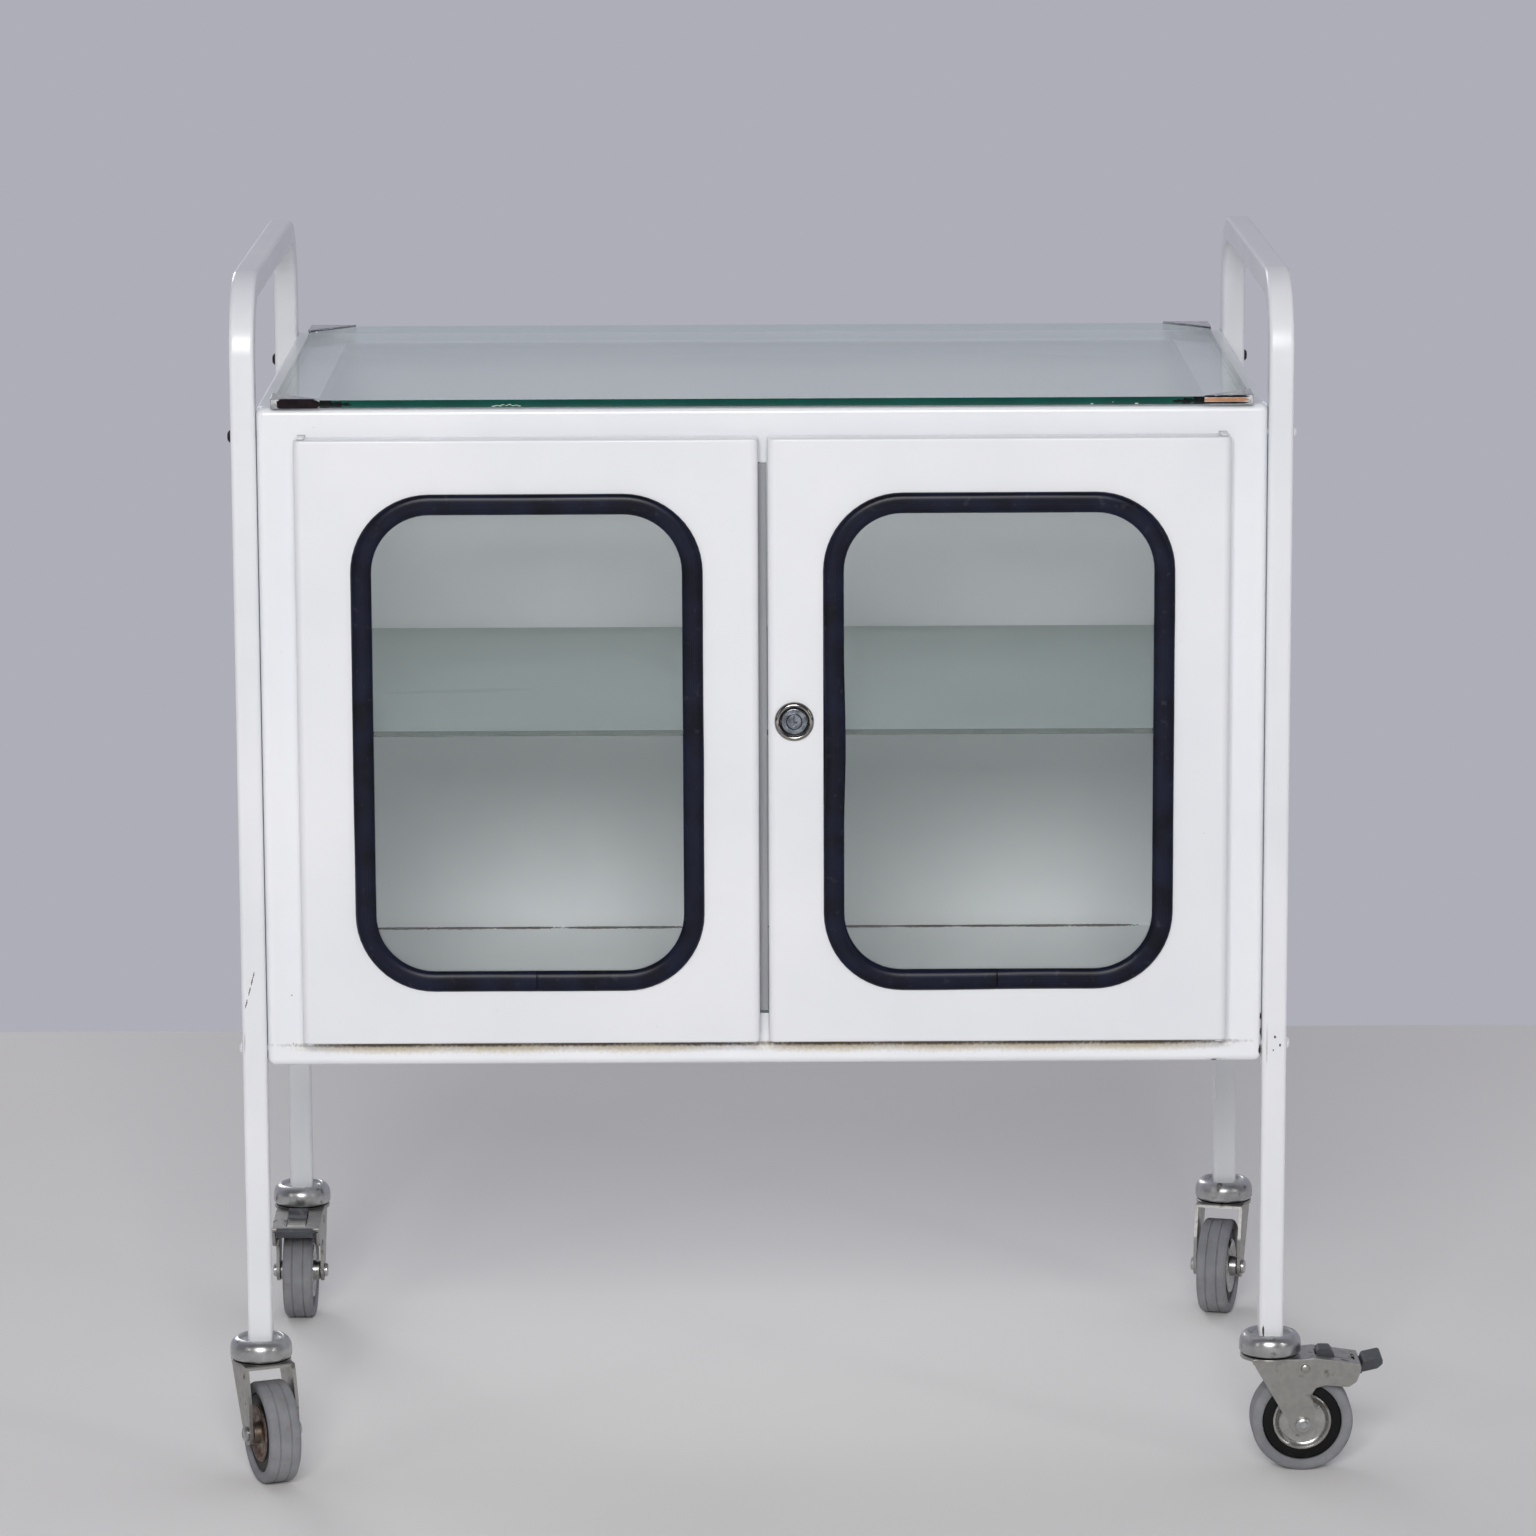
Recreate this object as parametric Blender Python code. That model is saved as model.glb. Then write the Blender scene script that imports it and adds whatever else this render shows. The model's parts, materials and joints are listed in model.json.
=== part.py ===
"""A hospital trolley: two bent tube side frames on swivel casters carry a white sheet-metal
cabinet with two glazed doors, a glass shelf and a glass top held by corner clips.

Metres, +Z up. The doors face -Y and X runs to the right. The pieces are modelled about the
trolley's middle, its front leg faces and the floor. One empty then moves them all, so that
the origin lies on the floor under the middle of the whole object.
"""

import math

import bmesh
import bpy
from mathutils import Matrix, Vector

# Clearances and facets
SEAT_GAP = 0.0003
NEST_GAP = 0.0008
CUT_OVERRUN = 0.003
WELD_DISTANCE = 0.00001
MARKER_SIZE = 0.03
SHARP_ANGLE = math.radians(35)
BEND_STEPS = 8
CORNER_STEPS = 6
FOLD_STEPS = 2
CHAMFER_STEPS = 1
WHEEL_FACETS = 24
CUP_FACETS = 20
SCREW_FACETS = 10
PIN_FACETS = 12

# Side frames: rectangular tube bent to an inverted U, the top of which is the handle
FRAME_WIDTH = 0.762
FRAME_DEPTH = 0.470
FRAME_HEIGHT = 0.886
TUBE_WIDTH = 0.018
TUBE_DEPTH = 0.020
TUBE_WALL = 0.0015
TUBE_CORNER_RADIUS = 0.003
FRAME_BEND_RADIUS = 0.060

# Cabinet: folded sheet, hung between the side frames
HANDLE_RISE = 0.093
CABINET_HEIGHT = 0.4835
CABINET_DEPTH = 0.464
CABINET_INSET = 0.003
SHEET = 0.0012
FACE_FOLD_RADIUS = 0.0055
FACE_RETURN = 0.012
SHEET_FOLD_RADIUS = 0.002
SIDE_FLANGE = 0.042
REAR_FLANGE = 0.061
BOTTOM_FLANGE = 0.020
FLOOR_CRACK = 0.001

# Screws that hold the cabinet to the legs, and the nuts welded inside it
SCREW_RADIUS = 0.0024
SCREW_HEAD_RADIUS = 0.0045
SCREW_HEAD_HEIGHT = 0.0024
SCREW_BELOW_TOP = 0.021
SCREW_ABOVE_BOTTOM = 0.0125
SCREW_HEAD_SHARES = ((1.0, 0.0), (0.96, 0.42), (0.62, 0.88), (0.0, 1.0))
NUT_RADIUS = 0.0038
NUT_LENGTH = 0.005
NUT_BITE = 0.0004

# Glass top and its corner clips
GLASS_WIDTH = 0.700
GLASS_DEPTH = 0.447
GLASS_THICKNESS = 0.006
GLASS_CORNER_RADIUS = 0.003
GLASS_OVERHANG = 0.004
CLIP_LEG = 0.034
CLIP_SHEET = 0.0008

# Shelf and its rails
SHELF_TOP = 0.2470
SHELF_THICKNESS = 0.004
SHELF_SIDE_CLEARANCE = 0.0015
SHELF_FRONT_CLEARANCE = 0.004
SHELF_REAR_CLEARANCE = 0.004
RAIL_SIZE = 0.012
RAIL_SHEET = 0.0015
RAIL_SHORTENING = 0.012

# Doors: folded pans, each with one rounded window
DOOR_WIDTH = 0.332
DOOR_HEIGHT = 0.442
DOOR_RAISE = 0.0205
DOOR_GAP = 0.0066
DOOR_DEPTH = 0.018
DOOR_STANDOFF = 0.0015
DOOR_SHEET = 0.001
DOOR_RETURN = 0.012
DOOR_FOLD_RADIUS = 0.0055
DOOR_END_RADIUS = 0.0015
DOOR_SIDE_LAP = 0.0153
DOOR_BOTTOM_LAP = 0.0175
DOOR_TOP_LAP = 0.0195

# Rubber glazing section and pane
GASKET_WIDTH = 0.2525
GASKET_HEIGHT = 0.364
GASKET_CORNER_RADIUS = 0.057
GASKET_BAND = 0.015
GASKET_PROUD = 0.004
GASKET_LIP = 0.002
GASKET_WEB_START = 0.0066
GASKET_WEB_END = 0.0084
GASKET_FRONT_SHARES = ((0.0, 0.08), (0.04, 0.60), (0.20, 1.0), (0.80, 1.0), (0.96, 0.60), (1.0, 0.08))
GASKET_REAR_SHARES = (0.93, 0.10)
PANE_THICKNESS = 0.004

# Hinges: a pin under each door's top and bottom edge, on a tab that comes out of the face
HINGE_EDGE_INSET = 0.005
HINGE_FORWARD = 0.012
HINGE_PIN_RADIUS = 0.002
HINGE_PIN_LENGTH = 0.007
HINGE_PLAY = 0.0005
TAB_RADIUS = 0.0052
TAB_THICKNESS = 0.002
TAB_TAIL = 0.007
TAB_STEPS = 6

# Strip behind the gap between the doors, and the catch that holds it
STRIP_WIDTH = 0.0253
STRIP_SHEET = 0.0012
STRIP_END_INSET = 0.020
STRIP_EDGE_GAP = 0.0005
CATCH_WIDTH = 0.022
CATCH_HEIGHT = 0.030
CATCH_DEPTH = 0.012
CATCH_DROP = 0.014
CATCH_PAD_HEIGHT = 0.010
CATCH_PAD_INSET = 0.003

# Cam lock in the right door
LOCK_EDGE_INSET = 0.0189
LOCK_HEIGHT = 0.237
LOCK_RING_RADIUS = 0.01425
LOCK_RING_PROUD = 0.0029
LOCK_BARREL_RADIUS = 0.0112
LOCK_NUT_RADIUS = 0.0140
LOCK_NUT_THICKNESS = 0.003
LOCK_PLUG_RADIUS = 0.0096
LOCK_RING_SHARES = ((1.0, 0.38), (0.93, 0.82), (0.80, 1.0), (0.72, 0.76))
LOCK_BORE_FRONT_SHARE = 0.55
LOCK_PLUG_FRONT_SHARE = 0.48
LOCK_REACH = 0.0015
KEYWAY_WIDTH = 0.0016
KEYWAY_HEIGHT = 0.0085
KEYWAY_DEPTH = 0.005
CAM_LENGTH = 0.025
CAM_WIDTH = 0.012
CAM_THICKNESS = 0.002
CAM_SPINDLE_RADIUS = 0.003
CAM_SCREW_RADIUS = 0.0048
CAM_SCREW_THICKNESS = 0.0012
CAM_STEPS = 6

# Casters: cup and kingpin, fork, wheel and brake
CASTER_HEIGHT = 0.104
SWIVEL_OFFSET = 0.0235
CUP_RADIUS = 0.0228
CUP_HEIGHT = 0.0155
CUP_RECESS = 0.002
CUP_RECESS_MARGIN = 0.0012
CUP_RIM = 0.002
CUP_DOME_SHARES = ((0.90, 0.0), (1.0, 0.14), (1.0, 0.48), (0.90, 0.88))
CUP_RACE_RADIUS = 0.012
BEARING_GAP = 0.001
KINGPIN_RADIUS = 0.004
KINGPIN_HEAD_RADIUS = 0.007
KINGPIN_HEAD = 0.003
INSERT_LENGTH = 0.030
FORK_WIDTH = 0.038
FORK_SHEET = 0.0025
FORK_DISC_RADIUS = 0.022
FORK_DISC_RISE = 0.0004
FORK_BOSS_RADIUS = 0.0085
FORK_BOSS_STEPS = 8
FORK_BOSS_START = math.radians(209)
FORK_BOSS_END = math.radians(375)
FORK_FRONT_SHARES = ((-0.640, 1.0), (-0.590, 0.928))
FORK_REAR_SHARES = ((1.270, 0.472), (0.957, 1.0))
AXLE_RADIUS = 0.004
AXLE_HEAD_RADIUS = 0.0055
AXLE_HEAD = 0.0028
WHEEL_RADIUS = 0.0375
WHEEL_WIDTH = 0.024
RIM_RADIUS = 0.029
RIM_WIDTH = 0.020
HUB_DISC_RADIUS = 0.0215
HUB_BOSS_RADIUS = 0.0078
HUB_END_PLAY = 0.0005
HUB_SHARES = ((0.45, 0.90), (0.80, 0.90), (0.92, 1.12), (1.02, 0.97))
GROOVE_PLACE_SHARE = 0.36
GROOVE_WIDTH = 0.0014
GROOVE_DEPTH = 0.0008
TYRE_SIDE_SHARES = ((0.0, 0.84), (0.60, 1.0), (1.0, 0.78))

# Brake: a housing at the back of the fork, and the pedal that tips in it
BRAKE_REACH = 0.0657
BRAKE_HOUSING_SHARES = (
    (0.454, 0.472), (0.495, 0.560), (0.603, 0.602), (0.866, 0.574), (0.951, 0.650), (1.0, 0.822),
    (1.0, 0.920), (0.484, 1.018), (0.365, 1.0),
)
SLOT_SHARES = (0.495, 0.945)
SLOT_WIDTH = 0.016
SLOT_CUT_DEPTH = 0.010
PEDAL_PIVOT_SHARES = (0.376, 0.856)
PEDAL_PIN_RADIUS = 0.002
PEDAL_PIN_INSET = 0.0008
PEDAL_RIVET_RADIUS = 0.0034
PEDAL_RIVET_BITE = 0.0012
PEDAL_RIVET_HEAD = 0.0014
PEDAL_SIDE_PLAY = 0.0006
PEDAL_BODY_SHARES = (
    (0.325, 0.800), (0.340, 0.780), (0.530, 0.785), (0.760, 0.765), (1.012, 0.765),
    (1.012, 0.850), (0.484, 0.945), (0.350, 0.925), (0.325, 0.900),
)
PEDAL_TIP_SHARES = (
    (0.950, 0.780), (1.012, 0.774), (1.190, 0.830), (1.248, 0.900), (1.248, 0.970), (1.225, 0.990),
    (1.040, 0.935), (1.014, 0.848), (0.950, 0.842),
)
PEDAL_TIP_WIDTH = 0.028
PEDAL_PAD_SHARES = (
    (0.514, 0.850), (0.514, 1.060), (0.548, 1.100), (0.662, 1.098), (0.697, 1.040), (0.716, 0.978),
    (0.912, 0.938), (0.912, 0.820),
)
PEDAL_PAD_PLAY = 0.0006
PEDAL_TRAVEL = math.radians(10)
SHOE_GAP = 0.0008
SHOE_ANGLES = (math.radians(16), math.radians(26))
SHOE_BITE = 0.003
SHOE_WIDTH = 0.014

# How each caster stands: its trail from straight forward, towards +X, and whether it has a brake
CASTER_STANCES = {
    "front_left": (math.radians(21), False),
    "front_right": (math.radians(90), True),
    "rear_left": (math.radians(-1), True),
    "rear_right": (math.radians(-14), False),
}

# Finishes: colour, roughness, metallic, alpha
ENAMEL = ("white_enamel", (0.86, 0.87, 0.89), 0.25, 0.0, 1.0)
ZINC = ("zinc_plate", (0.55, 0.56, 0.57), 0.35, 1.0, 1.0)
CHROME = ("chrome", (0.80, 0.80, 0.80), 0.12, 1.0, 1.0)
BLACK_OXIDE = ("dark_steel", (0.10, 0.10, 0.11), 0.45, 1.0, 1.0)
BLACK_RUBBER = ("black_rubber", (0.02, 0.022, 0.03), 0.45, 0.0, 1.0)
GREY_RUBBER = ("grey_rubber", (0.33, 0.33, 0.35), 0.75, 0.0, 1.0)
GREY_PLASTIC = ("grey_plastic", (0.12, 0.13, 0.15), 0.5, 0.0, 1.0)
CLEAR_GLASS = ("clear_glass", (0.75, 0.92, 0.88), 0.02, 0.0, 0.35)
FROSTED_GLASS = ("frosted_glass", (0.55, 0.68, 0.62), 0.55, 0.0, 0.6)
WHEEL_STEEL = ("wheel_steel", (0.50, 0.50, 0.49), 0.4, 1.0, 1.0)

# Places that the sizes above lead to
LEG_X = (FRAME_WIDTH - TUBE_WIDTH) / 2
LEG_OUTER = FRAME_WIDTH / 2
LEG_INNER = LEG_OUTER - TUBE_WIDTH
LEG_Y = {"front": TUBE_DEPTH / 2, "rear": FRAME_DEPTH - TUBE_DEPTH / 2}
LEG_FOOT = CASTER_HEIGHT - CUP_RECESS + SEAT_GAP
CABINET_HALF = LEG_INNER - SEAT_GAP
CABINET_TOP = FRAME_HEIGHT - HANDLE_RISE
CABINET_BOTTOM = CABINET_TOP - CABINET_HEIGHT
CABINET_FACE = CABINET_INSET
CABINET_REAR = CABINET_FACE + CABINET_DEPTH
INNER_HALF = CABINET_HALF - SHEET
PANEL_FRONT = CABINET_FACE + FACE_RETURN + SEAT_GAP
SCREW_LEVELS = (CABINET_BOTTOM + SCREW_ABOVE_BOTTOM, CABINET_TOP - SCREW_BELOW_TOP)
DOOR_BACK = CABINET_FACE - DOOR_STANDOFF
DOOR_FACE = DOOR_BACK - DOOR_DEPTH
DOOR_BOTTOM = CABINET_BOTTOM + DOOR_RAISE
DOOR_TOP = DOOR_BOTTOM + DOOR_HEIGHT
OPENING_BOTTOM = DOOR_BOTTOM + DOOR_BOTTOM_LAP
OPENING_TOP = DOOR_TOP - DOOR_TOP_LAP
OPENING_HALF = DOOR_GAP / 2 + DOOR_WIDTH - DOOR_SIDE_LAP
DOOR_MIDDLE_X = (DOOR_GAP + DOOR_WIDTH) / 2
DOOR_MIDDLE_Z = DOOR_BOTTOM + DOOR_HEIGHT / 2
HINGE_X = DOOR_GAP / 2 + DOOR_WIDTH - HINGE_EDGE_INSET
HINGE_Y = DOOR_BACK - HINGE_FORWARD
SHELF_LEVEL = CABINET_BOTTOM + SHELF_TOP
FORK_TOP = CASTER_HEIGHT - CUP_HEIGHT - BEARING_GAP
FORK_PLATE = FORK_TOP - FORK_DISC_RISE
FORK_CEILING = FORK_PLATE - FORK_SHEET
FORK_INNER = FORK_WIDTH / 2 - FORK_SHEET


# Scene and objects


def clear_scene():
    for obj in list(bpy.data.objects):
        bpy.data.objects.remove(obj, do_unlink=True)


def add_empty(name, parent, place, turn=0.0):
    empty = bpy.data.objects.new(name, None)
    bpy.context.scene.collection.objects.link(empty)
    empty.empty_display_size = MARKER_SIZE
    empty.parent = parent
    empty.location = place
    empty.rotation_euler.z = turn
    return empty


def finish_material(finish):
    name, colour, roughness, metallic, alpha = finish
    if name in bpy.data.materials:
        return bpy.data.materials[name]
    material = bpy.data.materials.new(name)
    material.use_nodes = True
    shader = material.node_tree.nodes["Principled BSDF"]
    shader.inputs["Base Color"].default_value = (*colour, 1)
    shader.inputs["Roughness"].default_value = roughness
    shader.inputs["Metallic"].default_value = metallic
    shader.inputs["Alpha"].default_value = alpha
    material.diffuse_color = (*colour, alpha)
    return material


def link_mesh(name, bm, parent, seat):
    """An object from bm. seat is where its parent lies in the coordinates of the mesh."""
    mesh = bpy.data.meshes.new(name)
    bm.to_mesh(mesh)
    bm.free()
    obj = bpy.data.objects.new(name, mesh)
    bpy.context.scene.collection.objects.link(obj)
    obj.parent = parent
    obj.matrix_parent_inverse = Matrix.Translation(-Vector(seat))
    return obj


def dress(obj, finish):
    obj.data.materials.append(finish_material(finish))
    obj.data.shade_smooth()
    obj.data.set_sharp_from_angle(angle=SHARP_ANGLE)
    return obj


def add_solid(name, bm, finish, parent, seat=(0.0, 0.0, 0.0)):
    """A closed piece."""
    bmesh.ops.recalc_face_normals(bm, faces=bm.faces)
    return dress(link_mesh(name, bm, parent, seat), finish)


def add_sheet_part(name, bm, inside, thickness, finish, parent, seat=(0.0, 0.0, 0.0)):
    """A folded sheet: bm is its outer skin, and the thickness grows towards the point inside."""
    bmesh.ops.recalc_face_normals(bm, faces=bm.faces)
    widest = max(bm.faces, key=lambda face: face.calc_area())
    if (widest.calc_center_median() - Vector(inside)).dot(widest.normal) < 0:
        bmesh.ops.reverse_faces(bm, faces=bm.faces)
    obj = dress(link_mesh(name, bm, parent, seat), finish)
    wall = obj.modifiers.new("Sheet", "SOLIDIFY")
    wall.thickness = thickness
    wall.offset = -1
    wall.use_even_offset = True
    return obj


def combine(obj, operation, bm, seat=(0.0, 0.0, 0.0)):
    """Cuts the shapes in bm from obj, or joins them to it."""
    bmesh.ops.recalc_face_normals(bm, faces=bm.faces)
    step = len(obj.modifiers)
    tool = link_mesh(f"{obj.name}_{operation.lower()}_{step}", bm, obj.parent, seat)
    tool.hide_render = True
    tool.display_type = "WIRE"
    modifier = obj.modifiers.new(f"{operation.title()} {step}", "BOOLEAN")
    modifier.operation = operation
    modifier.solver = "EXACT"
    modifier.object = tool


# Shapes


def add_box(bm, corner, opposite):
    corner = Vector(corner)
    opposite = Vector(opposite)
    size = [abs(side) for side in opposite - corner]
    matrix = Matrix.Translation((corner + opposite) / 2) @ Matrix.Diagonal((*size, 1))
    return bmesh.ops.create_cube(bm, size=1, matrix=matrix)["verts"]


def add_rod(bm, start, end, radius, facets=PIN_FACETS):
    start = Vector(start)
    run = Vector(end) - start
    turn = run.to_track_quat("Z", "Y").to_matrix().to_4x4()
    matrix = Matrix.Translation(start + run / 2) @ turn
    bmesh.ops.create_cone(
        bm, cap_ends=True, segments=facets, radius1=radius, radius2=radius, depth=run.length, matrix=matrix
    )


def add_prism(bm, outline, run):
    """Closes the outline with a face and pulls it along run."""
    face = bm.faces.new([bm.verts.new(point) for point in outline])
    made = bmesh.ops.extrude_face_region(bm, geom=[face])["geom"]
    moved = [item for item in made if isinstance(item, bmesh.types.BMVert)]
    bmesh.ops.translate(bm, verts=moved, vec=run)


def turned(profile, facets, place=(0.0, 0.0, 0.0), axis=(0.0, 0.0, 1.0)):
    """Spins a profile of (radius, height) about an axis. One that stays off the axis is a ring."""
    bm = bmesh.new()
    verts = [bm.verts.new((radius, 0, height)) for radius, height in profile]
    edges = [bm.edges.new(pair) for pair in zip(verts, verts[1:])]
    if profile[0][0] > 0:
        edges.append(bm.edges.new((verts[-1], verts[0])))
    bmesh.ops.spin(
        bm, geom=verts + edges, cent=(0, 0, 0), axis=(0, 0, 1), angle=math.tau, steps=facets, use_merge=True
    )
    bmesh.ops.remove_doubles(bm, verts=bm.verts, dist=WELD_DISTANCE)
    turn = Vector(axis).to_track_quat("Z", "Y").to_matrix().to_4x4()
    bmesh.ops.transform(bm, matrix=Matrix.Translation(place) @ turn, verts=bm.verts)
    return bm


def rounded_rectangle(width, height, radius, steps):
    """Points of a rectangle with round corners about its centre, anticlockwise."""
    points = []
    for quarter in range(4):
        start = quarter * math.pi / 2
        middle = start + math.pi / 4
        centre_x = math.copysign(width / 2 - radius, math.cos(middle))
        centre_y = math.copysign(height / 2 - radius, math.sin(middle))
        for step in range(steps + 1):
            angle = start + step * math.pi / 2 / steps
            points.append((centre_x + radius * math.cos(angle), centre_y + radius * math.sin(angle)))
    return points


def closed_loop(bm, points):
    verts = [bm.verts.new(point) for point in points]
    return [bm.edges.new(pair) for pair in zip(verts, verts[1:] + verts[:1])]


def pull(bm, edges, run):
    """Extrudes edges along run and returns the far ones."""
    made = bmesh.ops.extrude_edge_only(bm, edges=edges)["geom"]
    bmesh.ops.translate(bm, verts=[item for item in made if isinstance(item, bmesh.types.BMVert)], vec=run)
    return [item for item in made if isinstance(item, bmesh.types.BMEdge)]


def bend(bm, edges, centre, axis, angle, steps):
    """Spins edges about centre and returns the far ones."""
    last = bmesh.ops.spin(bm, geom=edges, cent=centre, axis=axis, angle=angle, steps=steps)["geom_last"]
    return [item for item in last if isinstance(item, bmesh.types.BMEdge)]


def round_edges(bm, chosen, radius, steps):
    edges = [edge for edge in bm.edges if chosen(*[vert.co for vert in edge.verts])]
    bmesh.ops.bevel(
        bm, geom=edges, offset=radius, offset_type="OFFSET", segments=steps, profile=0.5, affect="EDGES"
    )


def same(first, second):
    return abs(first - second) < WELD_DISTANCE


# Side frames


def make_side_frame(name, side, root):
    bm = bmesh.new()
    x = side * LEG_X
    turn_radius = FRAME_BEND_RADIUS - TUBE_DEPTH / 2
    bend_level = FRAME_HEIGHT - FRAME_BEND_RADIUS
    outer = rounded_rectangle(TUBE_WIDTH, TUBE_DEPTH, TUBE_CORNER_RADIUS, CHAMFER_STEPS)
    inner = rounded_rectangle(
        TUBE_WIDTH - 2 * TUBE_WALL, TUBE_DEPTH - 2 * TUBE_WALL, TUBE_CORNER_RADIUS - TUBE_WALL, CHAMFER_STEPS
    )
    rings = []
    for section in (outer, inner):
        foot = [(x + across, LEG_Y["front"] + along, LEG_FOOT) for across, along in section]
        rings += closed_loop(bm, foot)
    bmesh.ops.bridge_loops(bm, edges=rings)
    leg = bend_level - LEG_FOOT
    ends = pull(bm, rings, (0, 0, leg))
    centre = (x, LEG_Y["front"] + turn_radius, bend_level)
    ends = bend(bm, ends, centre, (-1, 0, 0), math.pi / 2, BEND_STEPS)
    ends = pull(bm, ends, (0, LEG_Y["rear"] - LEG_Y["front"] - 2 * turn_radius, 0))
    centre = (x, LEG_Y["rear"] - turn_radius, bend_level)
    ends = bend(bm, ends, centre, (-1, 0, 0), math.pi / 2, BEND_STEPS)
    ends = pull(bm, ends, (0, 0, -leg))
    bmesh.ops.bridge_loops(bm, edges=ends)
    frame = add_solid(name, bm, ENAMEL, root)
    holes = bmesh.new()
    for y in LEG_Y.values():
        for level in SCREW_LEVELS:
            near = side * (LEG_INNER - CUT_OVERRUN)
            far = side * (LEG_OUTER + CUT_OVERRUN)
            add_rod(holes, (near, y, level), (far, y, level), SCREW_RADIUS + SEAT_GAP, SCREW_FACETS)
    combine(frame, "DIFFERENCE", holes)


def make_frame_screw(name, side, y, level, root):
    seat = LEG_OUTER + SEAT_GAP
    length = seat - (INNER_HALF - NUT_LENGTH)
    profile = [(0, -length), (SCREW_RADIUS, -length), (SCREW_RADIUS, 0)]
    profile += [(SCREW_HEAD_RADIUS * out, SCREW_HEAD_HEIGHT * up) for out, up in SCREW_HEAD_SHARES]
    bm = turned(profile, SCREW_FACETS, (side * seat, y, level), (side, 0, 0))
    add_solid(name, bm, BLACK_OXIDE, root)


# Cabinet


def add_nuts(panel, side, leg):
    """Nuts welded inside the sheet beside one leg, and the screw holes through them."""
    nuts = bmesh.new()
    holes = bmesh.new()
    for level in SCREW_LEVELS:
        inner = (side * (INNER_HALF - NUT_LENGTH), LEG_Y[leg], level)
        seat = (side * (INNER_HALF + NUT_BITE), LEG_Y[leg], level)
        add_rod(nuts, inner, seat, NUT_RADIUS, SCREW_FACETS)
        start = (side * (INNER_HALF - NUT_LENGTH - CUT_OVERRUN), LEG_Y[leg], level)
        end = (side * (CABINET_HALF + CUT_OVERRUN), LEG_Y[leg], level)
        add_rod(holes, start, end, SCREW_RADIUS + SEAT_GAP, SCREW_FACETS)
    combine(panel, "UNION", nuts)
    combine(panel, "DIFFERENCE", holes)


def make_front_frame(root):
    """A shallow pan with its returns to the rear, and the door opening cut in its face."""
    bm = bmesh.new()
    back = CABINET_FACE + FACE_RETURN
    add_box(bm, (-CABINET_HALF, CABINET_FACE, CABINET_BOTTOM), (CABINET_HALF, back, CABINET_TOP))
    rear_faces = [face for face in bm.faces if same(face.calc_center_median().y, back)]
    bmesh.ops.delete(bm, geom=rear_faces, context="FACES")
    round_edges(bm, lambda a, b: not (same(a.y, back) and same(b.y, back)), FACE_FOLD_RADIUS, FOLD_STEPS)
    inside = (0, back, (CABINET_BOTTOM + CABINET_TOP) / 2)
    frame = add_sheet_part("front_frame", bm, inside, SHEET, ENAMEL, root)
    cuts = bmesh.new()
    near = CABINET_FACE - CUT_OVERRUN
    far = CABINET_FACE + SHEET + CUT_OVERRUN
    add_box(cuts, (-OPENING_HALF, near, OPENING_BOTTOM), (OPENING_HALF, far, OPENING_TOP))
    slot_half = TAB_RADIUS + SEAT_GAP
    for side in (-1, 1):
        for low, high in tab_levels().values():
            corner = (side * HINGE_X - slot_half, near, low - SEAT_GAP)
            opposite = (side * HINGE_X + slot_half, far, high + SEAT_GAP)
            add_box(cuts, corner, opposite)
    combine(frame, "DIFFERENCE", cuts)
    for side in (-1, 1):
        add_nuts(frame, side, "front")


def make_side_panel(name, side, root):
    bm = bmesh.new()
    outer = side * CABINET_HALF
    flange_top = side * (CABINET_HALF - SIDE_FLANGE)
    flange_bottom = side * (CABINET_HALF - BOTTOM_FLANGE)
    path = (
        (flange_top, CABINET_TOP),
        (outer, CABINET_TOP),
        (outer, CABINET_BOTTOM),
        (flange_bottom, CABINET_BOTTOM),
    )
    verts = [bm.verts.new((x, PANEL_FRONT, z)) for x, z in path]
    edges = [bm.edges.new(pair) for pair in zip(verts, verts[1:])]
    pull(bm, edges, (0, CABINET_REAR - PANEL_FRONT, 0))
    round_edges(
        bm,
        lambda a, b: same(a.x, outer) and same(b.x, outer) and same(a.z, b.z),
        SHEET_FOLD_RADIUS,
        FOLD_STEPS,
    )
    inside = (0, (PANEL_FRONT + CABINET_REAR) / 2, (CABINET_BOTTOM + CABINET_TOP) / 2)
    panel = add_sheet_part(name, bm, inside, SHEET, ENAMEL, root)
    add_nuts(panel, side, "rear")


def make_back_panel(root):
    """The rear wall and its top flange, which lies just under the side panels' flanges."""
    bm = bmesh.new()
    half = INNER_HALF - NEST_GAP
    top = CABINET_TOP - SHEET - SEAT_GAP
    bottom = CABINET_BOTTOM + SHEET + SEAT_GAP
    path = ((CABINET_REAR - REAR_FLANGE, top), (CABINET_REAR, top), (CABINET_REAR, bottom))
    verts = [bm.verts.new((-half, y, z)) for y, z in path]
    edges = [bm.edges.new(pair) for pair in zip(verts, verts[1:])]
    pull(bm, edges, (2 * half, 0, 0))
    round_edges(
        bm,
        lambda a, b: all(same(point.y, CABINET_REAR) and same(point.z, top) for point in (a, b)),
        SHEET_FOLD_RADIUS,
        FOLD_STEPS,
    )
    add_sheet_part("back_panel", bm, (0, 0, (top + bottom) / 2), SHEET, ENAMEL, root)


def make_floor_panel(root):
    bm = bmesh.new()
    half = INNER_HALF - NEST_GAP
    low = CABINET_BOTTOM + SHEET + SEAT_GAP
    rear = CABINET_REAR - SHEET - FLOOR_CRACK
    add_box(bm, (-half, PANEL_FRONT, low), (half, rear, low + SHEET))
    add_solid("floor_panel", bm, ENAMEL, root)


# Glass top, clips and shelf


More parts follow.
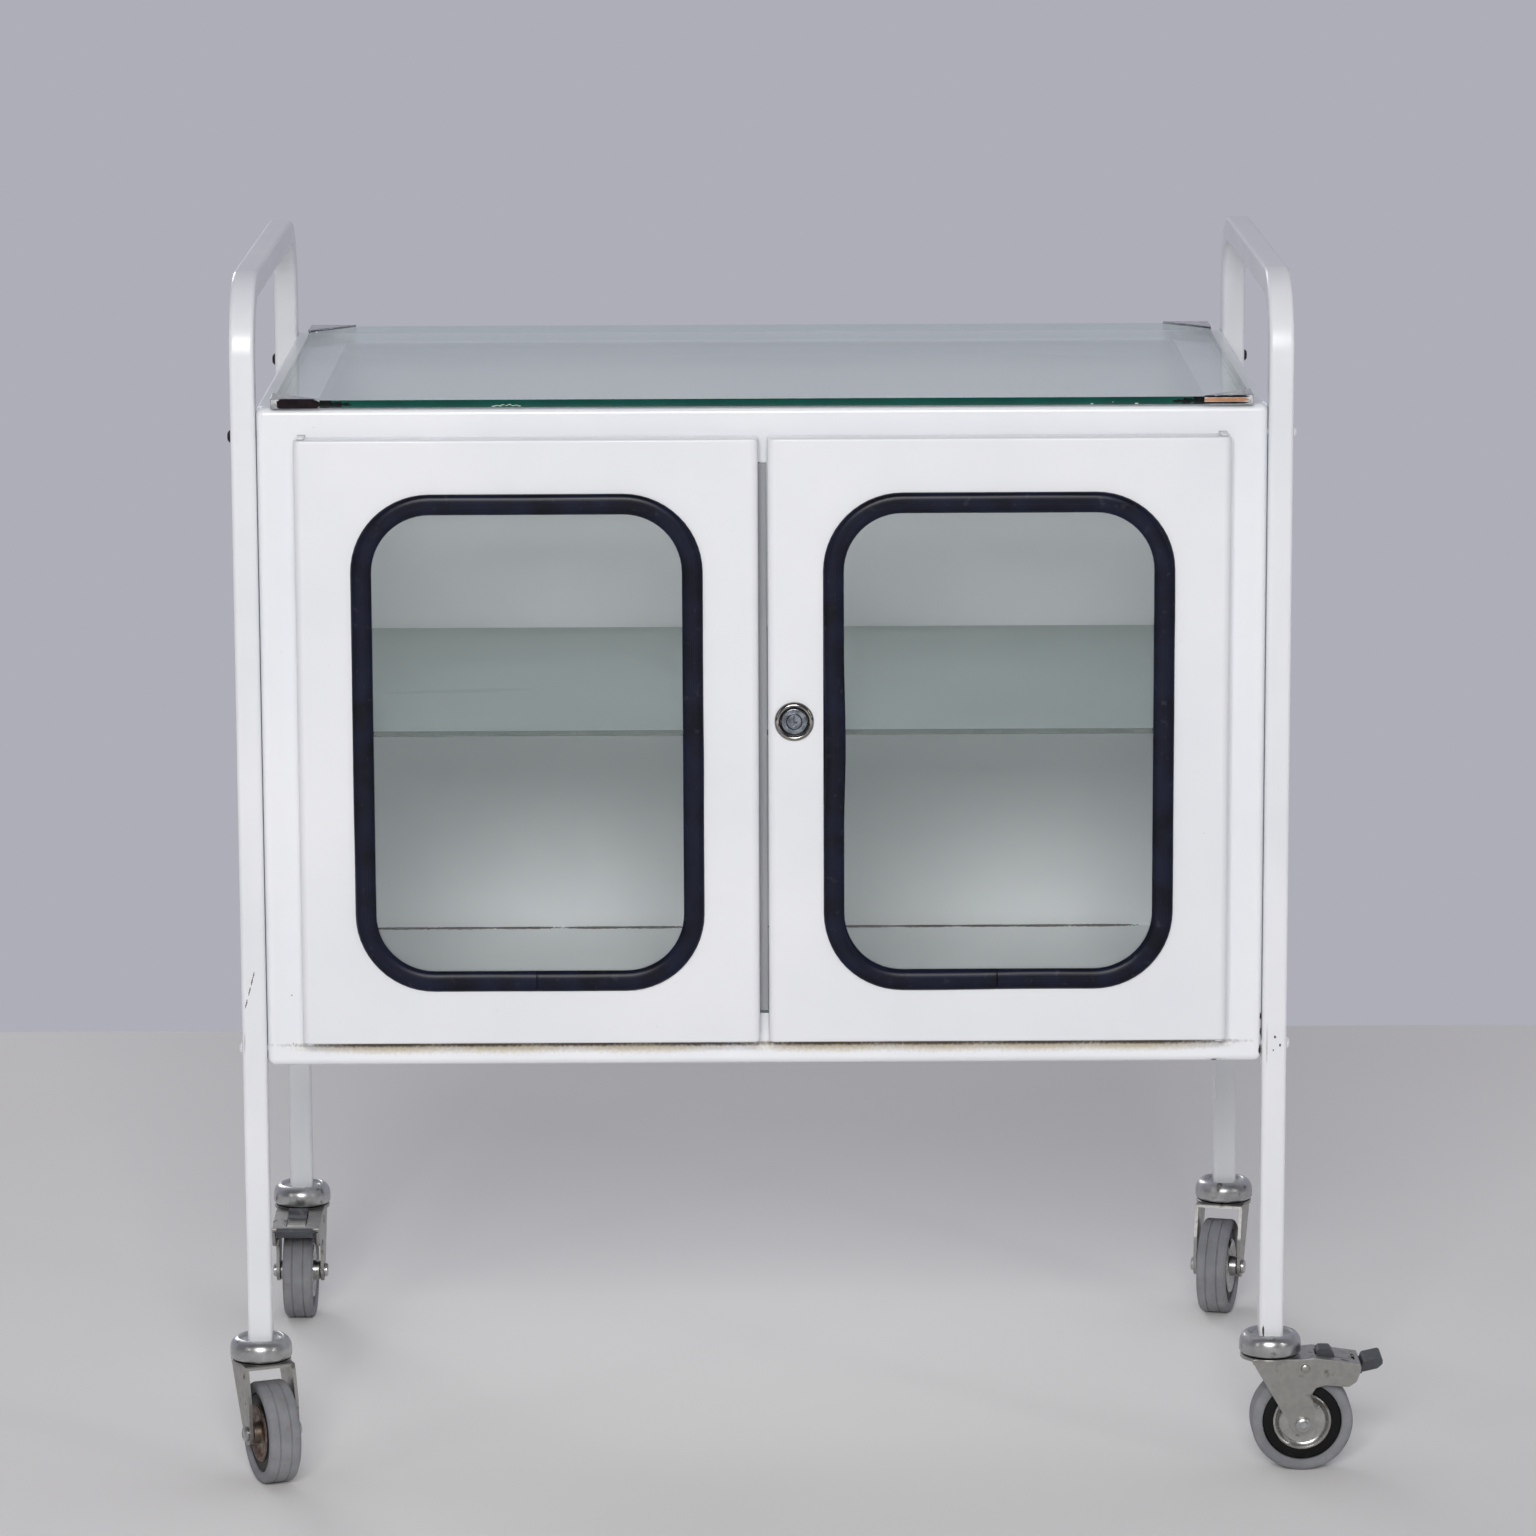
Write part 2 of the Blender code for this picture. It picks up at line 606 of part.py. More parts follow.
def make_glass_top(root):
    bm = bmesh.new()
    front = CABINET_FACE - GLASS_OVERHANG
    low = CABINET_TOP + SEAT_GAP
    opposite = (GLASS_WIDTH / 2, front + GLASS_DEPTH, low + GLASS_THICKNESS)
    add_box(bm, (-GLASS_WIDTH / 2, front, low), opposite)
    round_edges(bm, lambda a, b: same(a.x, b.x) and same(a.y, b.y), GLASS_CORNER_RADIUS, FOLD_STEPS)
    add_solid("glass_top", bm, CLEAR_GLASS, root)


def make_clip(name, side, end, root):
    """A triangle over the glass corner, with a lip down each of the two edges."""
    bm = bmesh.new()
    front = CABINET_FACE - GLASS_OVERHANG
    edge_y = front - SEAT_GAP if end < 0 else front + GLASS_DEPTH + SEAT_GAP
    edge_x = side * (GLASS_WIDTH / 2 + SEAT_GAP)
    top = CABINET_TOP + GLASS_THICKNESS + 2 * SEAT_GAP
    corner = (edge_x, edge_y, top)
    along_x = (edge_x - side * CLIP_LEG, edge_y, top)
    along_y = (edge_x, edge_y - end * CLIP_LEG, top)
    face = bm.faces.new([bm.verts.new(point) for point in (corner, along_x, along_y)])
    lips = [edge for edge in face.edges if any(vert.co == Vector(corner) for vert in edge.verts)]
    pull(bm, lips, (0, 0, -GLASS_THICKNESS - SEAT_GAP))
    centre = (edge_x - side * CLIP_LEG, edge_y - end * CLIP_LEG, CABINET_TOP)
    clip = add_sheet_part(name, bm, centre, CLIP_SHEET, CHROME, root)
    clip.modifiers["Sheet"].offset = 1


def make_shelf(root):
    bm = bmesh.new()
    half = INNER_HALF - SHELF_SIDE_CLEARANCE
    front = CABINET_FACE + SHEET + SHELF_FRONT_CLEARANCE
    rear = CABINET_REAR - SHEET - SHELF_REAR_CLEARANCE
    add_box(bm, (-half, front, SHELF_LEVEL - SHELF_THICKNESS), (half, rear, SHELF_LEVEL))
    add_solid("shelf_glass", bm, FROSTED_GLASS, root)


def make_shelf_rail(name, side, root):
    """A small angle on the side panel, with its ledge under the shelf."""
    bm = bmesh.new()
    wall = INNER_HALF - SEAT_GAP
    ledge = SHELF_LEVEL - SHELF_THICKNESS - SEAT_GAP
    section = (
        (wall, ledge),
        (wall - RAIL_SIZE, ledge),
        (wall - RAIL_SIZE, ledge - RAIL_SHEET),
        (wall - RAIL_SHEET, ledge - RAIL_SHEET),
        (wall - RAIL_SHEET, ledge - RAIL_SIZE),
        (wall, ledge - RAIL_SIZE),
    )
    front = PANEL_FRONT + RAIL_SHORTENING
    rear = CABINET_REAR - RAIL_SHORTENING
    add_prism(bm, [(side * x, front, z) for x, z in section], (0, rear - front, 0))
    add_solid(name, bm, ENAMEL, root)


# Doors


def tab_levels():
    """The lowest and highest level of each hinge tab."""
    under = DOOR_BOTTOM - HINGE_PLAY
    over = DOOR_TOP + HINGE_PLAY
    return {"bottom": (under - TAB_THICKNESS, under), "top": (over, over + TAB_THICKNESS)}


def make_hinge_tab(name, side, place, root):
    """A round-nosed tab that comes through the face, with the pin that enters the door."""
    low, high = tab_levels()[place]
    x = side * HINGE_X
    tail = CABINET_FACE + TAB_TAIL
    outline = [(x + TAB_RADIUS, tail, low), (x - TAB_RADIUS, tail, low)]
    for step in range(TAB_STEPS + 1):
        angle = math.pi + step * math.pi / TAB_STEPS
        outline.append((x + TAB_RADIUS * math.cos(angle), HINGE_Y + TAB_RADIUS * math.sin(angle), low))
    bm = bmesh.new()
    add_prism(bm, outline, (0, 0, TAB_THICKNESS))
    tab = add_solid(name, bm, ENAMEL, root)
    pin = bmesh.new()
    middle = (low + high) / 2
    tip = high + HINGE_PIN_LENGTH if place == "bottom" else low - HINGE_PIN_LENGTH
    add_rod(pin, (x, HINGE_Y, middle), (x, HINGE_Y, tip), HINGE_PIN_RADIUS)
    combine(tab, "UNION", pin)


def window_outline(inset):
    """The window's shape, this far inside the outer edge of its rubber."""
    width = GASKET_WIDTH - 2 * inset
    height = GASKET_HEIGHT - 2 * inset
    return rounded_rectangle(width, height, GASKET_CORNER_RADIUS - inset, CORNER_STEPS)


def make_door(name, side, hinge, seat):
    """A pan with its open side to the rear and a narrow return all round it."""
    bm = bmesh.new()
    inner_edge = side * DOOR_GAP / 2
    outer_edge = side * (DOOR_GAP / 2 + DOOR_WIDTH)
    add_box(bm, (inner_edge, DOOR_FACE, DOOR_BOTTOM), (outer_edge, DOOR_BACK, DOOR_TOP))
    round_edges(
        bm,
        lambda a, b: same(a.y, DOOR_FACE) and same(b.y, DOOR_FACE) and same(a.x, b.x),
        DOOR_FOLD_RADIUS,
        FOLD_STEPS,
    )
    round_edges(
        bm,
        lambda a, b: same(a.z, b.z) and not (same(a.y, DOOR_BACK) and same(b.y, DOOR_BACK)),
        DOOR_END_RADIUS,
        CHAMFER_STEPS,
    )
    inside = (side * DOOR_MIDDLE_X, (DOOR_FACE + DOOR_BACK) / 2, DOOR_MIDDLE_Z)
    door = add_sheet_part(name, bm, inside, DOOR_SHEET, ENAMEL, hinge, seat)
    cuts = bmesh.new()
    rear_cut = DOOR_BACK - DOOR_SHEET - CUT_OVERRUN
    corner = (inner_edge + side * DOOR_RETURN, rear_cut, DOOR_BOTTOM + DOOR_RETURN)
    opposite = (outer_edge - side * DOOR_RETURN, DOOR_BACK + CUT_OVERRUN, DOOR_TOP - DOOR_RETURN)
    add_box(cuts, corner, opposite)
    near = DOOR_FACE - CUT_OVERRUN
    far = DOOR_FACE + DOOR_SHEET + CUT_OVERRUN
    outline = window_outline(GASKET_WEB_START - SEAT_GAP)
    window = [(side * DOOR_MIDDLE_X + x, near, DOOR_MIDDLE_Z + z) for x, z in outline]
    add_prism(cuts, window, (0, far - near, 0))
    x = side * HINGE_X
    for level in (DOOR_BOTTOM, DOOR_TOP):
        low = level - DOOR_SHEET - CUT_OVERRUN
        high = level + DOOR_SHEET + CUT_OVERRUN
        add_rod(cuts, (x, HINGE_Y, low), (x, HINGE_Y, high), HINGE_PIN_RADIUS + SEAT_GAP)
    combine(door, "DIFFERENCE", cuts, seat)
    return door


def make_gasket(name, side, hinge, seat):
    """Rubber section that grips the door's sheet on its outside and the pane on its inside."""
    bm = bmesh.new()
    middle_x = side * DOOR_MIDDLE_X
    half_width = GASKET_WIDTH / 2
    half_height = GASKET_HEIGHT / 2
    corner = GASKET_CORNER_RADIUS
    section = [(GASKET_BAND * inward, GASKET_PROUD * out) for inward, out in GASKET_FRONT_SHARES]
    pane_back = -PANE_THICKNESS - SEAT_GAP
    sheet_back = -DOOR_SHEET - SEAT_GAP
    lip_end, lip_start = (GASKET_BAND * share for share in GASKET_REAR_SHARES)
    section += [
        (GASKET_WEB_END, SEAT_GAP),
        (GASKET_WEB_END, pane_back),
        (lip_end, pane_back),
        (lip_end, pane_back - GASKET_LIP),
        (lip_start, pane_back - GASKET_LIP),
        (lip_start, sheet_back),
        (GASKET_WEB_START, sheet_back),
        (GASKET_WEB_START, SEAT_GAP),
    ]
    start_x = middle_x - half_width + corner
    start_z = DOOR_MIDDLE_Z - half_height
    ends = closed_loop(bm, [(start_x, DOOR_FACE - out, start_z + inward) for inward, out in section])
    runs = (
        ((1, 0), GASKET_WIDTH - 2 * corner, (1, -1)),
        ((0, 1), GASKET_HEIGHT - 2 * corner, (1, 1)),
        ((-1, 0), GASKET_WIDTH - 2 * corner, (-1, 1)),
        ((0, -1), GASKET_HEIGHT - 2 * corner, (-1, -1)),
    )
    for (run_x, run_z), length, (corner_x, corner_z) in runs:
        ends = pull(bm, ends, (run_x * length, 0, run_z * length))
        centre = (
            middle_x + corner_x * (half_width - corner),
            DOOR_FACE,
            DOOR_MIDDLE_Z + corner_z * (half_height - corner),
        )
        ends = bend(bm, ends, centre, (0, -1, 0), math.pi / 2, CORNER_STEPS)
    bmesh.ops.remove_doubles(bm, verts=bm.verts, dist=WELD_DISTANCE)
    add_solid(name, bm, BLACK_RUBBER, hinge, seat)


def make_pane(name, side, hinge, seat):
    bm = bmesh.new()
    outline = window_outline(GASKET_WEB_END + SEAT_GAP)
    points = [(side * DOOR_MIDDLE_X + x, DOOR_FACE, DOOR_MIDDLE_Z + z) for x, z in outline]
    add_prism(bm, points, (0, PANE_THICKNESS, 0))
    add_solid(name, bm, CLEAR_GLASS, hinge, seat)


def strip_box():
    """The corners of the strip behind the gap, which stops just short of the right door's edge."""
    right = DOOR_GAP / 2 - STRIP_EDGE_GAP
    near = DOOR_BACK + SEAT_GAP
    low = (right - STRIP_WIDTH, near, DOOR_BOTTOM + STRIP_END_INSET)
    high = (right, near + STRIP_SHEET, DOOR_TOP - STRIP_END_INSET)
    return low, high


def make_lap_strip(hinge, seat):
    bm = bmesh.new()
    add_box(bm, *strip_box())
    add_solid("lap_strip", bm, ENAMEL, hinge, seat)


def make_door_catch(root):
    """A magnet block behind the top rail, with a pad that meets the strip."""
    low, high = strip_box()
    middle = (low[0] - DOOR_GAP / 2) / 2
    front = CABINET_FACE + SHEET + SEAT_GAP
    bottom = OPENING_TOP - CATCH_DROP
    bm = bmesh.new()
    half = CATCH_WIDTH / 2
    add_box(bm, (middle - half, front, bottom), (middle + half, front + CATCH_DEPTH, bottom + CATCH_HEIGHT))
    catch = add_solid("door_catch", bm, GREY_PLASTIC, root)
    pad = bmesh.new()
    pad_half = half - CATCH_PAD_INSET
    pad_low = bottom + CATCH_PAD_INSET / 2
    corner = (middle - pad_half, high[1] + SEAT_GAP, pad_low)
    opposite = (middle + pad_half, front + CATCH_DEPTH / 2, pad_low + CATCH_PAD_HEIGHT)
    add_box(pad, corner, opposite)
    combine(catch, "UNION", pad)


# Lock


def make_lock_case(door, hinge, seat, lock):
    """Chrome ring and barrel, with the nut that clamps the door's sheet between them."""
    bore = LOCK_PLUG_RADIUS + SEAT_GAP
    rear = -(DOOR_DEPTH + DOOR_STANDOFF) - LOCK_REACH + SEAT_GAP
    clamp = -DOOR_SHEET - SEAT_GAP
    profile = [
        (bore, rear),
        (LOCK_BARREL_RADIUS, rear),
        (LOCK_BARREL_RADIUS, clamp - LOCK_NUT_THICKNESS),
        (LOCK_NUT_RADIUS, clamp - LOCK_NUT_THICKNESS),
        (LOCK_NUT_RADIUS, clamp),
        (LOCK_BARREL_RADIUS, clamp),
        (LOCK_BARREL_RADIUS, SEAT_GAP),
        (LOCK_RING_RADIUS, SEAT_GAP),
    ]
    profile += [(LOCK_RING_RADIUS * out, LOCK_RING_PROUD * up) for out, up in LOCK_RING_SHARES]
    profile.append((bore, LOCK_RING_PROUD * LOCK_BORE_FRONT_SHARE))
    add_solid("lock_case", turned(profile, CUP_FACETS, lock, (0, -1, 0)), CHROME, hinge, seat)
    hole = bmesh.new()
    front = (lock[0], lock[1] - CUT_OVERRUN, lock[2])
    back = (lock[0], DOOR_BACK + CUT_OVERRUN, lock[2])
    add_rod(hole, front, back, LOCK_BARREL_RADIUS + SEAT_GAP, CUP_FACETS)
    combine(door, "DIFFERENCE", hole, seat)


def make_lock_works(spin, lock):
    """The plug with its keyway, and the cam between the plug and a screw at the rear."""
    step = DOOR_DEPTH + DOOR_STANDOFF + LOCK_REACH
    cam_front = step + SEAT_GAP
    cam_back = cam_front + CAM_THICKNESS
    screw_front = cam_back + SEAT_GAP
    screw_back = screw_front + CAM_SCREW_THICKNESS
    face = LOCK_RING_PROUD * LOCK_PLUG_FRONT_SHARE
    profile = [
        (0, -screw_back),
        (CAM_SCREW_RADIUS, -screw_back),
        (CAM_SCREW_RADIUS, -screw_front),
        (CAM_SPINDLE_RADIUS, -screw_front),
        (CAM_SPINDLE_RADIUS, -step),
        (LOCK_PLUG_RADIUS, -step),
        (LOCK_PLUG_RADIUS, face),
        (0, face),
    ]
    plug = add_solid("lock_plug", turned(profile, CUP_FACETS, lock, (0, -1, 0)), CHROME, spin, lock)
    keyway = bmesh.new()
    corner = (lock[0] - KEYWAY_WIDTH / 2, lock[1] - CUT_OVERRUN, lock[2] - KEYWAY_HEIGHT / 2)
    opposite = (lock[0] + KEYWAY_WIDTH / 2, lock[1] + KEYWAY_DEPTH, lock[2] + KEYWAY_HEIGHT / 2)
    add_box(keyway, corner, opposite)
    combine(plug, "DIFFERENCE", keyway, lock)

    bm = bmesh.new()
    radius = CAM_WIDTH / 2
    near = lock[1] + cam_front
    outline = []
    for end, start in ((0.0, 0.0), (-CAM_LENGTH + radius, math.pi)):
        for index in range(CAM_STEPS + 1):
            angle = start + index * math.pi / CAM_STEPS
            x = lock[0] + radius * math.cos(angle)
            outline.append((x, near, lock[2] + end + radius * math.sin(angle)))
    add_prism(bm, outline, (0, CAM_THICKNESS, 0))
    cam = add_solid("lock_cam", bm, ZINC, spin, lock)
    bore = bmesh.new()
    start = (lock[0], near - CUT_OVERRUN, lock[2])
    end = (lock[0], near + CAM_THICKNESS + CUT_OVERRUN, lock[2])
    add_rod(bore, start, end, CAM_SPINDLE_RADIUS + SEAT_GAP)
    combine(cam, "DIFFERENCE", bore, lock)


# Casters, each modelled about its swivel axis with its trail along +X


def make_cup(name, swivel):
    """The domed cup with its kingpin below and the insert that fills the leg's end above."""
    leg_reach = math.hypot(TUBE_WIDTH, TUBE_DEPTH) / 2
    recess_radius = leg_reach + CUP_RECESS_MARGIN
    bottom = CASTER_HEIGHT - CUP_HEIGHT
    race = FORK_TOP + SEAT_GAP
    head_top = FORK_CEILING - SEAT_GAP
    recess = CASTER_HEIGHT - CUP_RECESS
    profile = [
        (0, head_top - KINGPIN_HEAD),
        (KINGPIN_HEAD_RADIUS, head_top - KINGPIN_HEAD),
        (KINGPIN_HEAD_RADIUS, head_top),
        (KINGPIN_RADIUS, head_top),
        (KINGPIN_RADIUS, race),
        (CUP_RACE_RADIUS, race),
        (CUP_RACE_RADIUS + BEARING_GAP, bottom),
    ]
    profile += [(CUP_RADIUS * out, bottom + CUP_HEIGHT * up) for out, up in CUP_DOME_SHARES]
    profile += [(recess_radius + CUP_RIM, CASTER_HEIGHT), (recess_radius, recess), (0, recess)]
    return add_solid(name, turned(profile, CUP_FACETS), ZINC, swivel)


def add_insert(cup, turn):
    """The plug in the tube, square to the leg whichever way the fork has turned."""
    wide = TUBE_WIDTH / 2 - TUBE_WALL - SEAT_GAP
    deep = TUBE_DEPTH / 2 - TUBE_WALL - SEAT_GAP
    recess = CASTER_HEIGHT - CUP_RECESS
    insert = bmesh.new()
    add_box(insert, (-wide, -deep, recess - CUP_RECESS), (wide, deep, recess + INSERT_LENGTH))
    corner = TUBE_CORNER_RADIUS - TUBE_WALL
    round_edges(insert, lambda a, b: same(a.x, b.x) and same(a.y, b.y), corner, CHAMFER_STEPS)
    bmesh.ops.rotate(insert, verts=insert.verts, matrix=Matrix.Rotation(-turn, 3, "Z"))
    combine(cup, "UNION", insert)


def fork_point(along, up, unit):
    """A place in the fork's side view, from shares of a length behind the pivot and of its rise."""
    return along * unit, WHEEL_RADIUS + up * (FORK_PLATE - WHEEL_RADIUS)


def housing_point(along, up):
    return fork_point(along, up, BRAKE_REACH)


def cross_prism(outline, width):
    """A side view pulled across the caster, centred on it."""
    bm = bmesh.new()
    add_prism(bm, [(x, -width / 2, z) for x, z in outline], (0, width, 0))
    return bm


def make_fork(name, braked, swivel):
    """Pressed channel: the side view across the full width, less the space between its cheeks."""
    outline = [fork_point(along, up, SWIVEL_OFFSET) for along, up in FORK_FRONT_SHARES]
    for step in range(FORK_BOSS_STEPS + 1):
        angle = FORK_BOSS_START + step * (FORK_BOSS_END - FORK_BOSS_START) / FORK_BOSS_STEPS
        x = SWIVEL_OFFSET + FORK_BOSS_RADIUS * math.cos(angle)
        outline.append((x, WHEEL_RADIUS + FORK_BOSS_RADIUS * math.sin(angle)))
    if braked:
        outline += [housing_point(along, up) for along, up in BRAKE_HOUSING_SHARES]
    else:
        outline += [fork_point(along, up, SWIVEL_OFFSET) for along, up in FORK_REAR_SHARES]
    fork = add_solid(name, cross_prism(outline, FORK_WIDTH), ZINC, swivel)

    ceiling = [(-BRAKE_REACH, 0), (-BRAKE_REACH, FORK_CEILING)]
    if braked:
        ends = [housing_point(along, up) for along, up in BRAKE_HOUSING_SHARES[-3:]]
        ceiling += [(x, z - FORK_SHEET) for x, z in reversed(ends)]
        far = ceiling[-1][1]
    else:
        far = FORK_CEILING
    ceiling += [(2 * BRAKE_REACH, far), (2 * BRAKE_REACH, 0)]
    combine(fork, "DIFFERENCE", cross_prism(ceiling, 2 * FORK_INNER))

    disc = bmesh.new()
    add_rod(disc, (0, 0, FORK_TOP - FORK_SHEET), (0, 0, FORK_TOP), FORK_DISC_RADIUS, CUP_FACETS)
    combine(fork, "UNION", disc)

    half = FORK_WIDTH / 2
    holes = bmesh.new()
    reach = half + CUT_OVERRUN
    axle = SWIVEL_OFFSET
    add_rod(holes, (axle, -reach, WHEEL_RADIUS), (axle, reach, WHEEL_RADIUS), AXLE_RADIUS + SEAT_GAP)
    below = FORK_CEILING - CUT_OVERRUN
    add_rod(holes, (0, 0, below), (0, 0, FORK_TOP + CUT_OVERRUN), KINGPIN_RADIUS + SEAT_GAP)
    if braked:
        start, end = (share * BRAKE_REACH for share in SLOT_SHARES)
        under = FORK_TOP - SLOT_CUT_DEPTH
        add_box(holes, (start, -SLOT_WIDTH / 2, under), (end, SLOT_WIDTH / 2, CASTER_HEIGHT))
    combine(fork, "DIFFERENCE", holes)
    if braked:
        x, z = housing_point(*PEDAL_PIVOT_SHARES)
        pin = bmesh.new()
        end = half - PEDAL_PIN_INSET
        add_rod(pin, (x, -end, z), (x, end, z), PEDAL_PIN_RADIUS)
        combine(fork, "UNION", pin)
        rivets = bmesh.new()
        for side in (-1, 1):
            inner = (x, side * (half - PEDAL_RIVET_BITE), z)
            outer = (x, side * (half + PEDAL_RIVET_HEAD), z)
            add_rod(rivets, inner, outer, PEDAL_RIVET_RADIUS)
        combine(fork, "UNION", rivets)


def make_axle(name, swivel):
    """A riveted axle with a head outside each cheek."""
    half = FORK_WIDTH / 2 + SEAT_GAP
    end = half + AXLE_HEAD
    profile = [
        (0, -end),
        (AXLE_HEAD_RADIUS, -end),
        (AXLE_HEAD_RADIUS, -half),
        (AXLE_RADIUS, -half),
        (AXLE_RADIUS, half),
        (AXLE_HEAD_RADIUS, half),
        (AXLE_HEAD_RADIUS, end),
        (0, end),
    ]
    bm = turned(profile, PIN_FACETS, (SWIVEL_OFFSET, 0, WHEEL_RADIUS), (0, 1, 0))
    add_solid(name, bm, ZINC, swivel)


def mirrored(half_profile):
    """A half profile of (radius, half width), carried on to the wheel's other side."""
    return half_profile + [(radius, -across) for radius, across in reversed(half_profile)]


def make_hub(name, spin):
    """Dished steel disc in a dark rim, with a boss that runs on the axle."""
    boss = FORK_INNER - HUB_END_PLAY
    half = RIM_WIDTH / 2
    profile = [(AXLE_RADIUS + SEAT_GAP, boss), (HUB_BOSS_RADIUS, boss)]
    profile += [(HUB_DISC_RADIUS * out, half * across) for out, across in HUB_SHARES]
    profile += [(RIM_RADIUS, half * HUB_SHARES[-1][1])]
    add_solid(name, turned(mirrored(profile), WHEEL_FACETS, axis=(0, 1, 0)), WHEEL_STEEL, spin)


def make_tyre(name, spin):
    """Rubber tread with two grooves round it."""
    inner = RIM_RADIUS + SEAT_GAP
    depth = WHEEL_RADIUS - inner
    half = WHEEL_WIDTH / 2
    profile = [(inner + depth * out, half * across) for out, across in TYRE_SIDE_SHARES]
    groove = half * GROOVE_PLACE_SHARE
    profile += [
        (WHEEL_RADIUS, groove + GROOVE_WIDTH / 2),
        (WHEEL_RADIUS - GROOVE_DEPTH, groove),
        (WHEEL_RADIUS, groove - GROOVE_WIDTH / 2),
    ]
    add_solid(name, turned(mirrored(profile), WHEEL_FACETS, axis=(0, 1, 0)), GREY_RUBBER, spin)


def shoe_point(angle):
    """A place on the shoe at rest that comes to its gap from the tread when the pedal is down."""
    pivot_x, pivot_z = housing_point(*PEDAL_PIVOT_SHARES)
    reach = WHEEL_RADIUS + SHOE_GAP
    x = SWIVEL_OFFSET + reach * math.sin(angle) - pivot_x
    z = WHEEL_RADIUS + reach * math.cos(angle) - pivot_z
    cosine = math.cos(PEDAL_TRAVEL)
    sine = math.sin(PEDAL_TRAVEL)
    return pivot_x + x * cosine - z * sine, pivot_z + x * sine + z * cosine


def make_pedal(name, pivot_empty, pivot):
    """The toggle in the housing: a body on the pin, a tip at the back and a pad in the slot."""
    body_width = 2 * (FORK_INNER - PEDAL_SIDE_PLAY)
    body = [housing_point(along, up) for along, up in PEDAL_BODY_SHARES]
    pedal = add_solid(name, cross_prism(body, body_width), GREY_PLASTIC, pivot_empty, pivot)
    tip = [housing_point(along, up) for along, up in PEDAL_TIP_SHARES]
    combine(pedal, "UNION", cross_prism(tip, PEDAL_TIP_WIDTH), pivot)
    pad = [housing_point(along, up) for along, up in PEDAL_PAD_SHARES]
    combine(pedal, "UNION", cross_prism(pad, SLOT_WIDTH - 2 * PEDAL_PAD_PLAY), pivot)
    front, rear = (shoe_point(angle) for angle in SHOE_ANGLES)
    shoe = [front, rear, (rear[0], rear[1] + SHOE_BITE), (front[0], front[1] + SHOE_BITE)]
    combine(pedal, "UNION", cross_prism(shoe, SHOE_WIDTH), pivot)
    bore = bmesh.new()
    reach = FORK_WIDTH / 2
    x, y, z = pivot
    add_rod(bore, (x, -reach, z), (x, reach, z), PEDAL_PIN_RADIUS + SEAT_GAP)
    combine(pedal, "DIFFERENCE", bore, pivot)


def make_caster(corner, side, leg, root):
    heading, braked = CASTER_STANCES[corner]
    turn = heading - math.pi / 2
    swivel = add_empty(f"{corner}_swivel_axis", root, (side * LEG_X, LEG_Y[leg], 0), turn)
    cup = make_cup(f"{corner}_caster_cup", swivel)
    add_insert(cup, turn)
    make_fork(f"{corner}_fork", braked, swivel)
    make_axle(f"{corner}_axle", swivel)
    spin = add_empty(f"{corner}_wheel_axis", swivel, (SWIVEL_OFFSET, 0, WHEEL_RADIUS))
    make_hub(f"{corner}_hub", spin)
    make_tyre(f"{corner}_tyre", spin)
    if braked:
        x, z = housing_point(*PEDAL_PIVOT_SHARES)
        pivot = add_empty(f"{corner}_pedal_axis", swivel, (x, 0, z))
        make_pedal(f"{corner}_brake_pedal", pivot, (x, 0, z))


# The whole trolley


def plan_reaches():
    """How far the object reaches to -X, +X, -Y and +Y with its casters as they stand."""
    left = LEG_X + CUP_RADIUS
    right = LEG_X + BRAKE_REACH * max(along for along, up in PEDAL_TIP_SHARES)
    heading = CASTER_STANCES["front_left"][0]
    trail = (SWIVEL_OFFSET + WHEEL_RADIUS) * math.cos(heading) + WHEEL_WIDTH / 2 * math.sin(heading)
    front = LEG_Y["front"] - trail
    rear = LEG_Y["rear"] + CUP_RADIUS
    return -left, right, front, rear


def main():
    clear_scene()
    left, right, front, rear = plan_reaches()
    root = add_empty("trolley", None, (-(left + right) / 2, -(front + rear) / 2, 0))
    make_front_frame(root)
    make_back_panel(root)
    make_floor_panel(root)
    make_glass_top(root)
    make_shelf(root)
    make_door_catch(root)
    for hand, side in (("left", -1), ("right", 1)):
        make_side_frame(f"{hand}_side_frame", side, root)
        make_side_panel(f"{hand}_side_panel", side, root)
        make_shelf_rail(f"{hand}_shelf_rail", side, root)
        for leg, end in (("front", -1), ("rear", 1)):
            make_clip(f"{leg}_{hand}_glass_clip", side, end, root)
            make_caster(f"{leg}_{hand}", side, leg, root)
            for place, level in zip(("lower", "upper"), SCREW_LEVELS):
                make_frame_screw(f"{leg}_{hand}_{place}_screw", side, LEG_Y[leg], level, root)
        for place in tab_levels():
            make_hinge_tab(f"{hand}_{place}_hinge_tab", side, place, root)
        seat = (side * HINGE_X, HINGE_Y, DOOR_BOTTOM)
        hinge = add_empty(f"{hand}_door_axis", root, seat)
        door = make_door(f"{hand}_door", side, hinge, seat)
        make_gasket(f"{hand}_gasket", side, hinge, seat)
        make_pane(f"{hand}_pane", side, hinge, seat)
        if side < 0:
            make_lap_strip(hinge, seat)
        else:
            lock = (DOOR_GAP / 2 + LOCK_EDGE_INSET, DOOR_FACE, DOOR_BOTTOM + LOCK_HEIGHT)
            make_lock_case(door, hinge, seat, lock)
            spin = add_empty("lock_axis", hinge, Vector(lock) - Vector(seat))
            make_lock_works(spin, lock)
    bpy.context.view_layer.update()


main()
